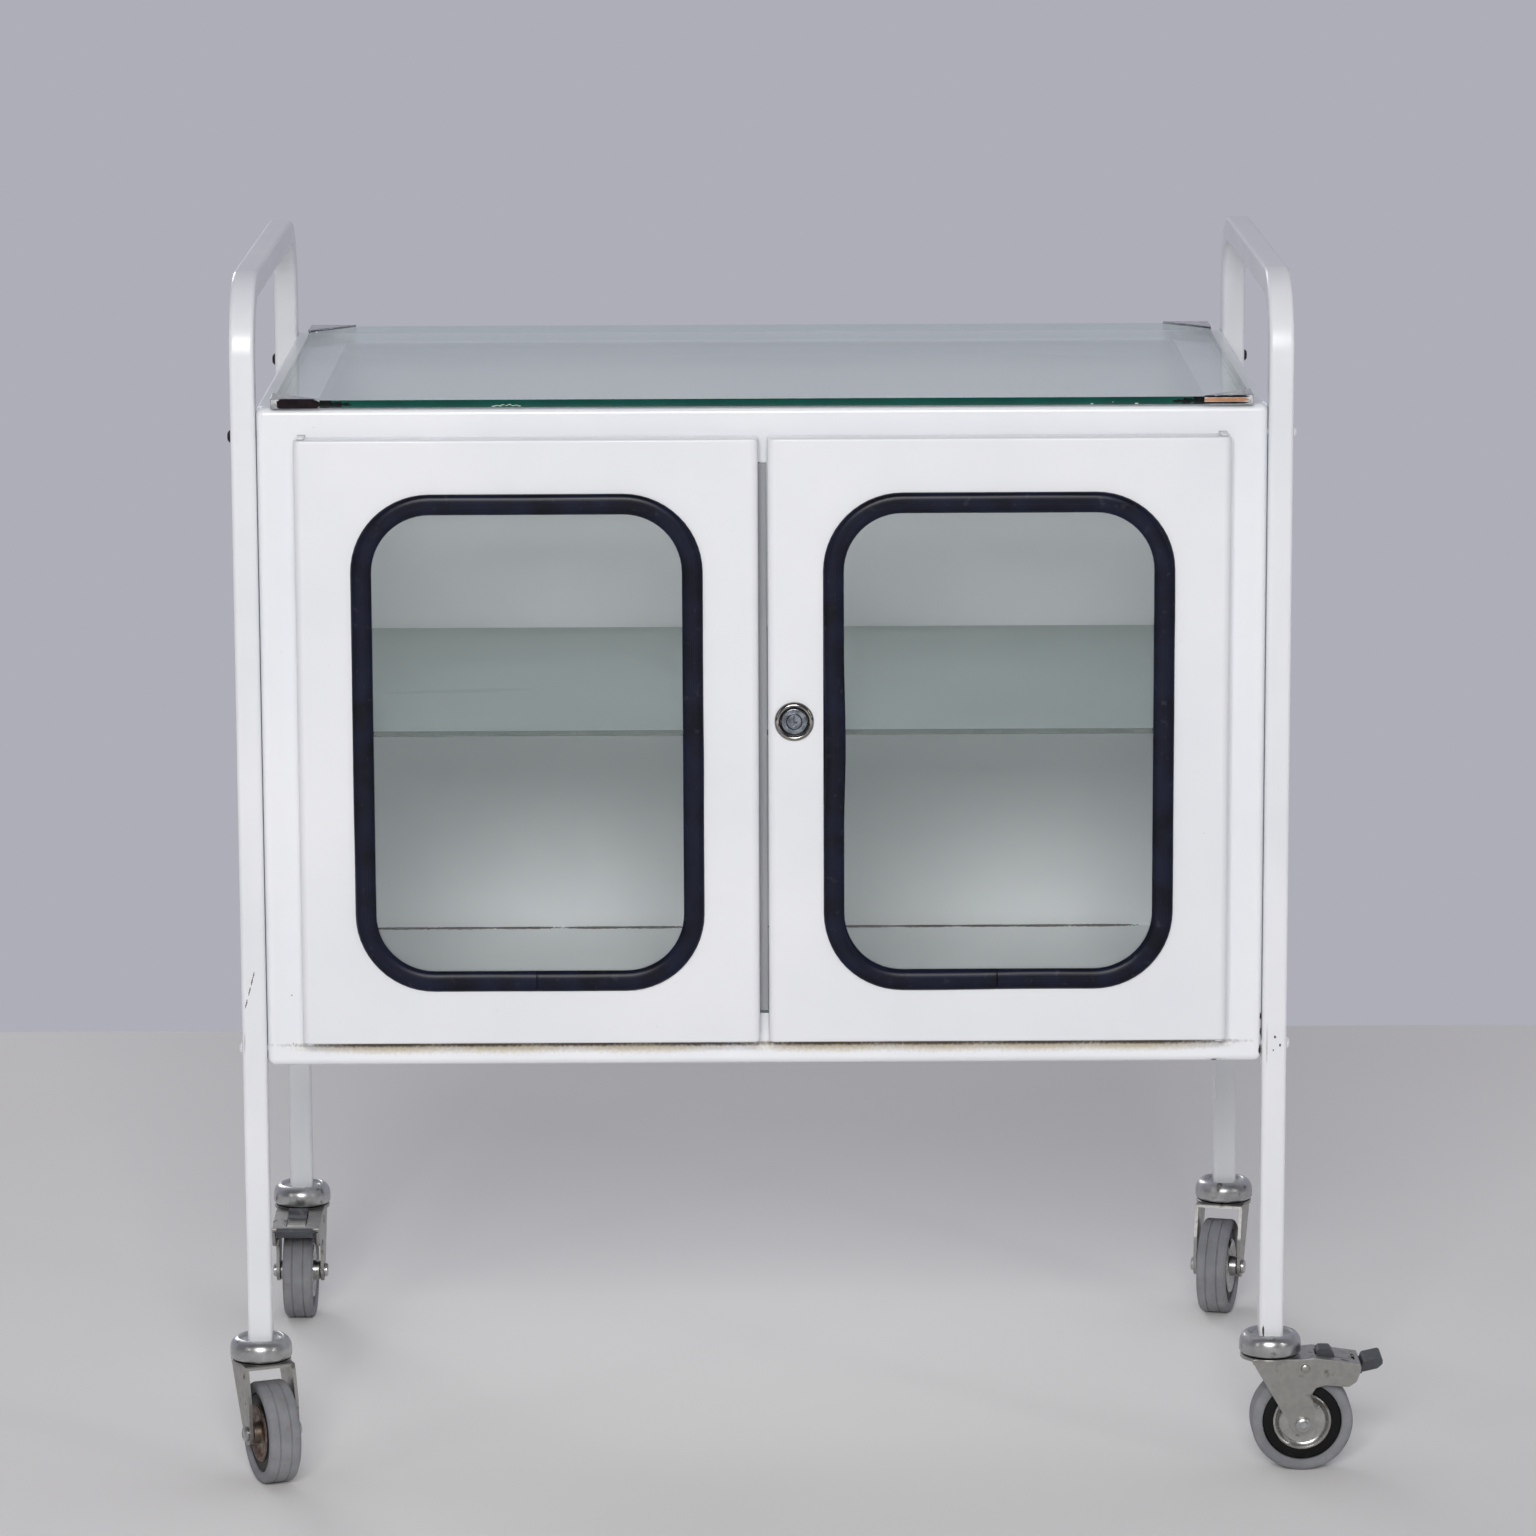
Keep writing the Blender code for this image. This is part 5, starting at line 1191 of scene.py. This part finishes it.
def wheel_place(corner):
    """The wheel's centre, with its axis along the shape's Z."""
    return caster_place(corner) @ Matrix.Translation((SWIVEL_OFFSET, 0, WHEEL_RADIUS)) @ TO_FRONT


for corner in CORNERS:
    print(corner, "caster stands at", [round(share, 4) for share in caster_place(corner).translation])

# %% [markdown]
# ## Cups and leg plugs
#
# The cup is a pressed dome over the bearing, turned from a profile. A black plastic plug
# fills the leg's end and shows as a thin line at the foot.

# %% Cups and leg plugs
CUP_DOME = (
    (0.90, 0.0), (0.955, 0.02), (0.985, 0.07), (1.0, 0.15), (1.0, 0.44), (0.992, 0.56), (0.975, 0.67),
    (0.945, 0.77), (0.905, 0.855), (0.86, 0.92), (0.81, 0.965), (0.76, 0.99), (0.7315, 1.0),
)
bright_zinc = plated_steel("bright_zinc_cup", "C4C5C5", "ABACAC", 0.27, 0.38, 12, grime=0.01, dents=0.006)
dull_zinc = plated_steel("zinc_plate", "AEADA9", "9E9D99", 0.34, 0.44, 9, grime=0.02, dents=0.02)
leg_plug_plastic = rubber("leg_plug_plastic", "25262B", "18191C", 0.35, 0.5, 0.7)
LEG_PLUG_FOOT, LEG_PLUG_TOP, LEG_PLUG_CORNER = 0.1022, 0.132, 0.0015
CUP_FLOOR = 0.102


def bearing_cup(corner):
    """The dome, the pin through the fork's crown and the pin's head, in one profile."""
    bottom = CASTER_HEIGHT - CUP_HEIGHT
    under, over = FORK_CEILING - RUNNING_GAP, FORK_TOP + RUNNING_GAP
    profile = [
        (0, under - 0.003), (0.007, under - 0.003), (0.007, under), (0.004, under), (0.004, over),
        (0.012, over), (0.013, bottom),
    ]
    profile += [(CUP_RADIUS * out, bottom + CUP_HEIGHT * up) for out, up in CUP_DOME]
    profile += [(0.01605, CASTER_HEIGHT - 0.0002), (0.01540, CASTER_HEIGHT - 0.0008)]
    profile += [(0.01465, CUP_FLOOR), (0, CUP_FLOOR)]
    return turned_shape(profile, 64, caster_place(corner))


def leg_plug(corner):
    swivel = Vector(JOINTS[f"{corner}_swivel"]["pos_m"])
    wide = TUBE_WIDTH / 2 - TUBE_WALL - RUNNING_GAP
    deep = TUBE_DEPTH / 2 - TUBE_WALL - RUNNING_GAP
    low = (swivel.x - wide, swivel.y - deep, LEG_PLUG_FOOT)
    bm = box_shape(low, (swivel.x + wide, swivel.y + deep, LEG_PLUG_TOP))
    round_edges(bm, upright, LEG_PLUG_CORNER, 3)
    return bm


for corner in CORNERS:
    node = f"{corner}_caster_cup"
    add_piece(f"{corner}_bearing_cup", bearing_cup(corner), "trolley", [node], [bright_zinc])
    add_piece(f"{corner}_leg_plug", leg_plug(corner), "trolley", [], [leg_plug_plastic])

# %% [markdown]
# ## Forks
#
# The fork is pressed from 2.5 mm strip: a crown with a cheek on each side that narrows to
# the axle. Its side view is pulled across the full width, its upper edges are rounded as
# the press rounds them, and the space for the wheel is cut from below. Two forks reach
# further back, to hold a brake.

# %% Forks and axles
FORK_FRONT = ((-0.640, 1.0), (-0.590, 0.928))
FORK_REAR = ((1.270, 0.472), (0.957, 1.0))
HOUSING = (
    (0.454, 0.472), (0.495, 0.560), (0.603, 0.602), (0.866, 0.574), (0.951, 0.650), (1.0, 0.822),
    (1.0, 0.920), (0.484, 1.018), (0.365, 1.0),
)
BOSS_RADIUS = 0.0085
BOSS_START, BOSS_SWEEP, BOSS_STEPS = 209, 166, 12
PRESSED_EDGE, FOLDED_EDGE = 0.0012, 0.0022
PIN_BORE = 0.0043
BORE_REACH = 0.03
CROWN_RADIUS, CROWN_EDGE, CROWN_DEPTH = 0.022, 0.0008, 0.006
PEDAL_PIVOT = (0.376, 0.856)
PEDAL_SLOT = (0.495 * BRAKE_REACH, 0.945 * BRAKE_REACH)
SLOT_HALF, SLOT_DEPTH = 0.008, 0.010
RIVET_HEAD = 0.0014
AXLE_HEAD = 0.0028


def side_point(along, up, unit):
    return along * unit, WHEEL_RADIUS + up * (FORK_PLATE - WHEEL_RADIUS)


def across(outline, width, rounding=0.0):
    """A side view pulled across the caster, centred on it."""
    return pulled_shape([(x, -width / 2, z) for x, z in outline], (0, width, 0), rounding)


def fork(corner):
    braked = f"{corner}_brake" in JOINTS
    outline = [side_point(along, up, SWIVEL_OFFSET) for along, up in FORK_FRONT]
    for step in range(BOSS_STEPS + 1):
        angle = math.radians(BOSS_START + step * BOSS_SWEEP / BOSS_STEPS)
        x, z = BOSS_RADIUS * math.cos(angle), BOSS_RADIUS * math.sin(angle)
        outline.append((SWIVEL_OFFSET + x, WHEEL_RADIUS + z))
    if braked:
        outline += [side_point(along, up, BRAKE_REACH) for along, up in HOUSING]
    else:
        outline += [side_point(along, up, SWIVEL_OFFSET) for along, up in FORK_REAR]
    bm = across(outline, FORK_WIDTH, PRESSED_EDGE)
    half = FORK_WIDTH / 2
    crown = FORK_PLATE - CROWN_DEPTH
    round_edges(
        bm, lambda a, b: same(abs(a.y), half) and same(a.y, b.y) and min(a.z, b.z) > crown, FOLDED_EDGE, 5
    )
    ceiling = [(-BRAKE_REACH, 0), (-BRAKE_REACH, FORK_CEILING)]
    if braked:
        ends = [side_point(along, up, BRAKE_REACH) for along, up in HOUSING[-3:]]
        ceiling += [(x, z - FORK_SHEET) for x, z in reversed(ends)]
    ceiling += [(2 * BRAKE_REACH, ceiling[-1][1]), (2 * BRAKE_REACH, 0)]
    start, end = (SWIVEL_OFFSET, -BORE_REACH, WHEEL_RADIUS), (SWIVEL_OFFSET, BORE_REACH, WHEEL_RADIUS)
    punches = [
        across(ceiling, 2 * FORK_INNER),
        rod_shape(start, end, PIN_BORE, 24),
        rod_shape((0, 0, FORK_CEILING - PUNCH), (0, 0, FORK_TOP + PUNCH), PIN_BORE, 24),
    ]
    disc = rod_shape((0, 0, FORK_TOP - FORK_SHEET), (0, 0, FORK_TOP), CROWN_RADIUS, 64)
    round_edges(disc, lambda a, b: same(a.z, FORK_TOP) and same(b.z, FORK_TOP), CROWN_EDGE, 3)
    welds = [disc]
    if braked:
        start, end = PEDAL_SLOT
        low = (start, -SLOT_HALF, FORK_TOP - SLOT_DEPTH)
        punches.append(box_shape(low, (end, SLOT_HALF, CASTER_HEIGHT)))
    bm = worked(bm, 0, punches, welds)
    bm.transform(caster_place(corner))
    return bm


def pivot_rivets(corner):
    """The heads of the brake's pin on both cheeks, and the pin between them."""
    x, z = side_point(*PEDAL_PIVOT, BRAKE_REACH)
    half = FORK_WIDTH / 2
    end = half + RIVET_HEAD
    profile = [
        (0, -end), (0.0020, -end + 0.0001), (0.0030, -end + 0.0005), (0.0034, -half), (0.0020, -half),
        (0.0020, half), (0.0034, half), (0.0030, end - 0.0005), (0.0020, end - 0.0001), (0, end),
    ]
    place = caster_place(corner) @ Matrix.Translation((x, 0, z)) @ TO_FRONT
    return turned_shape(profile, 24, place)


def axle(corner):
    half = FORK_WIDTH / 2 + RUNNING_GAP
    end = half + AXLE_HEAD
    profile = [
        (0, -end), (0.0030, -end), (0.0046, -end + 0.0003), (0.0054, -end + 0.0010), (0.0055, -half),
        (0.004, -half), (0.004, half), (0.0055, half), (0.0054, end - 0.0010), (0.0046, end - 0.0003),
        (0.0030, end), (0.0026, end - 0.0004), (0, end - 0.0004),
    ]
    return turned_shape(profile, 32, wheel_place(corner))


for corner in CORNERS:
    body = f"{corner}_fork"
    add_piece(f"{corner}_fork_pressing", fork(corner), body, [body], [dull_zinc], SOFT_EDGE)
    add_piece(f"{corner}_axle_rivet", axle(corner), body, [f"{corner}_axle"], [bright_zinc])
    if f"{corner}_brake" in JOINTS:
        add_piece(f"{corner}_brake_rivets", pivot_rivets(corner), body, [], [dull_zinc])

# %% [markdown]
# ## Wheels
#
# Each wheel has a dished steel disc with a rolled rim, in a black plastic rim, inside a grey
# rubber tyre with two fine grooves round its tread. All are turned. The front left disc has
# rusted.

# %% Wheels
disc_steel = plated_steel("wheel_disc_steel", "BCBCB9", "A3A29F", 0.24, 0.34, 14, grime=0.03, dents=0.006)
rusty_disc = plated_steel(
    "rusty_wheel_disc", "9A8E82", "6E6259", 0.35, 0.6, 4, grime=0.22, grime_colour="5E3D2C"
)
rim_plastic = rubber("black_rim_plastic", "0D0E10", "070809", 0.40, 0.55, 0.6, 0.03, "2E2C2A", ior=1.3)
tyre_rubber = rubber("grey_tyre_rubber", "8F9094", "7B7C81", 0.65, 0.85, 0.5, 0.08, "85796E", ior=1.4)
HUB_PLAY = 0.0005
DISC_RADIUS = 0.0217
TYRE_INNER = 0.0293
TYRE_HALF = 0.012


def wheel_hub(corner):
    boss = FORK_INNER - HUB_PLAY
    profile = [
        (0.0043, boss), (0.0070, boss), (0.0078, boss - 0.0008), (0.0082, 0.0102), (0.0092, 0.0092),
        (0.0115, 0.0088), (0.0160, 0.0088), (0.0176, 0.0093), (0.0188, 0.0104), (0.0200, 0.0111),
        (0.0210, 0.0109), (0.0216, 0.0102), (0.0219, 0.0095), (0.0280, 0.0095), (0.0290, 0.0088),
    ]
    profile += [(radius, -out) for radius, out in reversed(profile)]
    place = wheel_place(corner)
    bm = turned_shape(profile, 72, place)
    for each in bm.faces:
        middle = place.inverted() @ each.calc_center_median()
        each.material_index = 1 if math.hypot(middle.x, middle.y) > DISC_RADIUS else 0
    return bm


def tyre(corner):
    half = TYRE_HALF
    groove = half * 0.36
    profile = [
        (TYRE_INNER, half * 0.84), (TYRE_INNER + 0.0012, half * 0.95), (0.0335, half), (0.0352, half * 0.985),
        (0.0364, half * 0.93), (0.0371, half * 0.86), (WHEEL_RADIUS, half * 0.76),
    ]
    profile += [
        (WHEEL_RADIUS, groove + 0.0007), (0.0370, groove + 0.0004), (0.0367, groove),
        (0.0370, groove - 0.0004), (WHEEL_RADIUS, groove - 0.0007),
    ]
    profile += [(radius, -out) for radius, out in reversed(profile)]
    return turned_shape(profile, 96, wheel_place(corner))


for corner in CORNERS:
    disc = rusty_disc if corner == "front_left" else disc_steel
    body = f"{corner}_wheel"
    finishes = [disc, rim_plastic]
    add_piece(f"{corner}_wheel_disc", wheel_hub(corner), body, [f"{corner}_hub"], finishes)
    add_piece(f"{corner}_tyre_tread", tyre(corner), body, [f"{corner}_tyre"], [tyre_rubber])

# %% [markdown]
# ## Brake pedals
#
# Two casters have a toggle brake. Its pedal tips on a pin in the fork's housing, with a pad
# that stands up through the slot and a tip at the rear. Four grooves across the pad give the
# sole of a shoe its grip. Pad and tip are plastic, moulded on a steel lever, so the faces
# between them take the zinc finish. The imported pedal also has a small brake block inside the
# housing, which this finer shape doesn't have.

# %% Brake pedals
PEDAL_BODY = (
    (0.325, 0.800), (0.340, 0.780), (0.530, 0.785), (0.760, 0.765), (1.012, 0.765),
    (1.012, 0.850), (0.484, 0.945), (0.350, 0.925), (0.325, 0.900),
)
PEDAL_TIP = (
    (0.950, 0.780), (1.012, 0.774), (1.190, 0.830), (1.248, 0.900), (1.248, 0.970), (1.225, 0.990),
    (1.040, 0.935), (1.014, 0.848), (0.950, 0.842),
)
PEDAL_PAD = (
    (0.514, 0.850), (0.514, 1.060), (0.548, 1.100), (0.662, 1.098), (0.697, 1.040), (0.716, 0.978),
    (0.912, 0.938), (0.912, 0.820),
)
PAD_WIDTH, PAD_EDGE = 0.0148, 0.0008
TIP_WIDTH, TIP_EDGE = 0.028, 0.0009
LEVER_PLAY = 0.0006
LEVER_BORE = 0.0023
LEVER_START, LEVER_END = 0.72, 0.97
GROOVES, FIRST_GROOVE, GROOVE_SPACING, GROOVE_LEVEL = 4, 0.565, 0.03, 1.105
GROOVE_RADIUS, GROOVE_REACH = 0.0006, 0.02


def housing_outline(shares):
    return [side_point(along, up, BRAKE_REACH) for along, up in shares]


def brake_pedal(corner):
    pad = across(housing_outline(PEDAL_PAD), PAD_WIDTH, PAD_EDGE)
    tip = across(housing_outline(PEDAL_TIP), TIP_WIDTH, TIP_EDGE)
    lever = across(housing_outline(PEDAL_BODY), 2 * (FORK_INNER - LEVER_PLAY))
    x, z = side_point(*PEDAL_PIVOT, BRAKE_REACH)
    punches = [rod_shape((x, -BORE_REACH, z), (x, BORE_REACH, z), LEVER_BORE, 20)]
    for step in range(GROOVES):
        x, z = side_point(FIRST_GROOVE + step * GROOVE_SPACING, GROOVE_LEVEL, BRAKE_REACH)
        punches.append(rod_shape((x, -GROOVE_REACH, z), (x, GROOVE_REACH, z), GROOVE_RADIUS, 10))
    bm = worked(lever, 0, punches, [tip, pad])
    for each in bm.faces:
        on_lever = LEVER_START < each.calc_center_median().x / BRAKE_REACH < LEVER_END
        each.material_index = 1 if on_lever else 0
    bm.transform(caster_place(corner))
    return bm


pedal_plastic = rubber("grey_pedal_plastic", "484B51", "383B40", 0.40, 0.55, 0.7, 0.06, "77736E")
for corner in CORNERS:
    if f"{corner}_brake" in JOINTS:
        body = f"{corner}_pedal"
        node, finishes = f"{corner}_brake_pedal", [pedal_plastic, dull_zinc]
        add_piece(body, brake_pedal(corner), body, [node], finishes, SOFT_EDGE)

# %% [markdown]
# ## Parts that keep their imported shape
#
# The strip behind the gap, the catch, the screws and the cam are small and plain, so the
# imported shapes stay and only get their finishes. The white strip is coloured grey: painted
# shade, for the deep gap it sits in. The lower screws and the upper one at the front right
# were painted over with the frame. The other upper ones are bare black steel.

# %% Finishes of the small parts
black_steel = plated_steel("black_oxide_steel", "3A3A3D", "202022", 0.35, 0.55, 3)
catch_plastic = rubber("catch_plastic", "8F8F8C", "7C7C7A", 0.4, 0.55, 0.8)
# Painted shade: the white strip deep in the gap is coloured grey.
strip_painted_shade_grey = gloss_enamel("strip_painted_shade_grey", "A4A5A9", "9A9BA0")
finish_nodes(["lap_strip"], strip_painted_shade_grey)
finish_nodes(["door_catch"], catch_plastic)
finish_nodes(["lock_cam"], dull_zinc)
finish_nodes([f"{corner}_upper_screw" for corner in CORNERS if corner != "front_right"], black_steel)
finish_nodes([f"{corner}_lower_screw" for corner in CORNERS] + ["front_right_upper_screw"], frame_enamel)

# %% [markdown]
# ## Room, light and camera
#
# A plain pale floor ends about 1 m behind the trolley, in front of an even grey. The main
# soft light stands in front, a metre above the camera: it lights the doors, falls through
# their windows onto the cabinet's back, and shades what is under the cabinet. Two narrow
# lights at the sides draw bright streaks on the bent tubes, and a weak one behind keeps the
# back open. The camera has a long lens and looks slightly down, as a catalogue picture does.

# %% Floor
FLOOR_MIDDLE = (0, -1.9, 0)
FLOOR_SIZE = (9, 6.26)
FLOOR_CLOUDS = 400


def pale_floor():
    bm = bmesh.new()
    place = Matrix.Translation(FLOOR_MIDDLE) @ Matrix.Diagonal((*FLOOR_SIZE, 1, 1))
    bmesh.ops.create_grid(bm, x_segments=1, y_segments=1, size=0.5, matrix=place)
    mesh = bpy.data.meshes.new("floor")
    bm.to_mesh(mesh)
    bm.free()
    floor = bpy.data.objects.new("floor", mesh)
    scene.collection.objects.link(floor)
    material, tree, shader, places = start_finish("pale_floor", {"Roughness": 0.9, "IOR": 1.3})
    drift = add_node(
        tree, "ShaderNodeTexNoise", {"Vector": places, "Scale": millimetres(FLOOR_CLOUDS), "Detail": 3.0}
    ).outputs["Fac"]
    colour = add_node(
        tree, "ShaderNodeMix", {0: drift, 6: linear("EDEBE8"), 7: linear("F3F2EF")}, data_type="RGBA"
    ).outputs[2]
    tree.links.new(colour, shader.inputs["Base Color"])
    mesh.materials.append(material)
    print("the floor is", FLOOR_SIZE[0], "by", FLOOR_SIZE[1], "m")


pale_floor()


# %% Lights
def soft_light(name, place, aim, size, watts):
    """A white oblong light, size in metres, that faces aim."""
    lamp = bpy.data.lights.new(name, "AREA")
    lamp.shape = "RECTANGLE"
    lamp.size, lamp.size_y = size
    lamp.energy = watts
    light = bpy.data.objects.new(name, lamp)
    scene.collection.objects.link(light)
    away = Vector(place) - Vector(aim)
    light.matrix_world = Matrix.Translation(place) @ away.to_track_quat("Z", "Y").to_matrix().to_4x4()
    print(name, "is", round(away.length, 2), "m from what it lights")


soft_light("front_softbox", (-0.3, -4.9, 2.45), (0, 0, 0.5), (1.9, 1.5), 143)
soft_light("left_strip_light", (-3.1, -2.8, 1.5), (0, 0, 0.6), (0.4, 1.8), 7)
soft_light("right_strip_light", (3.1, -2.8, 1.5), (0, 0, 0.6), (0.4, 1.8), 12)
soft_light("rear_softbox", (-2.2, 4.4, 2.6), (0, 0, 0.5), (1.6, 1.6), 40)

WALL_GREY, FRONT_GREY = "AEAEB9", "5C5A5C"
room = bpy.data.worlds.new("grey_room")
room.use_nodes = True
scene.world = room
backdrop = room.node_tree.nodes["Background"]
sky = room.node_tree
seen = add_node(sky, "ShaderNodeLightPath").outputs["Is Camera Ray"]
direction = add_node(sky, "ShaderNodeTexCoord").outputs["Generated"]
towards = add_node(sky, "ShaderNodeSeparateXYZ", {0: direction}).outputs["Y"]
rear = add_node(sky, "ShaderNodeMapRange", {"Value": towards, "From Min": -0.5, "From Max": 0.4}).outputs[0]
around = add_node(
    sky, "ShaderNodeMix", {0: rear, 6: linear(FRONT_GREY), 7: linear(WALL_GREY)}, data_type="RGBA"
).outputs[2]
wall = add_node(sky, "ShaderNodeMix", {0: seen, 6: around, 7: linear(WALL_GREY)}, data_type="RGBA").outputs[2]
sky.links.new(wall, backdrop.inputs["Color"])
scene.view_settings.view_transform = "Standard"


# %% Camera
CAMERA_PLACE = (-0.045897, -4.711976, 1.3839)
YAW, PITCH, ROLL = 0.249, 10.755, 0.222
LENS = 148.335


def aim_camera():
    yaw, pitch, roll = (math.radians(angle) for angle in (YAW, PITCH, ROLL))
    forward = Vector((math.sin(yaw) * math.cos(pitch), math.cos(yaw) * math.cos(pitch), -math.sin(pitch)))
    level = Vector((math.cos(yaw), -math.sin(yaw), 0))
    above = -forward.cross(level)
    right = math.cos(roll) * level - math.sin(roll) * above
    up = math.cos(roll) * above + math.sin(roll) * level
    lens = bpy.data.cameras.new("camera")
    lens.lens = LENS
    lens.sensor_width = 36
    lens.sensor_fit = "HORIZONTAL"
    camera = bpy.data.objects.new("camera", lens)
    scene.collection.objects.link(camera)
    turn = Matrix((right, up, -forward)).transposed().to_4x4()
    camera.matrix_world = Matrix.Translation(CAMERA_PLACE) @ turn
    scene.camera = camera
    print("the camera is", round(camera.matrix_world.translation.length, 3), "m from the trolley's foot")


aim_camera()
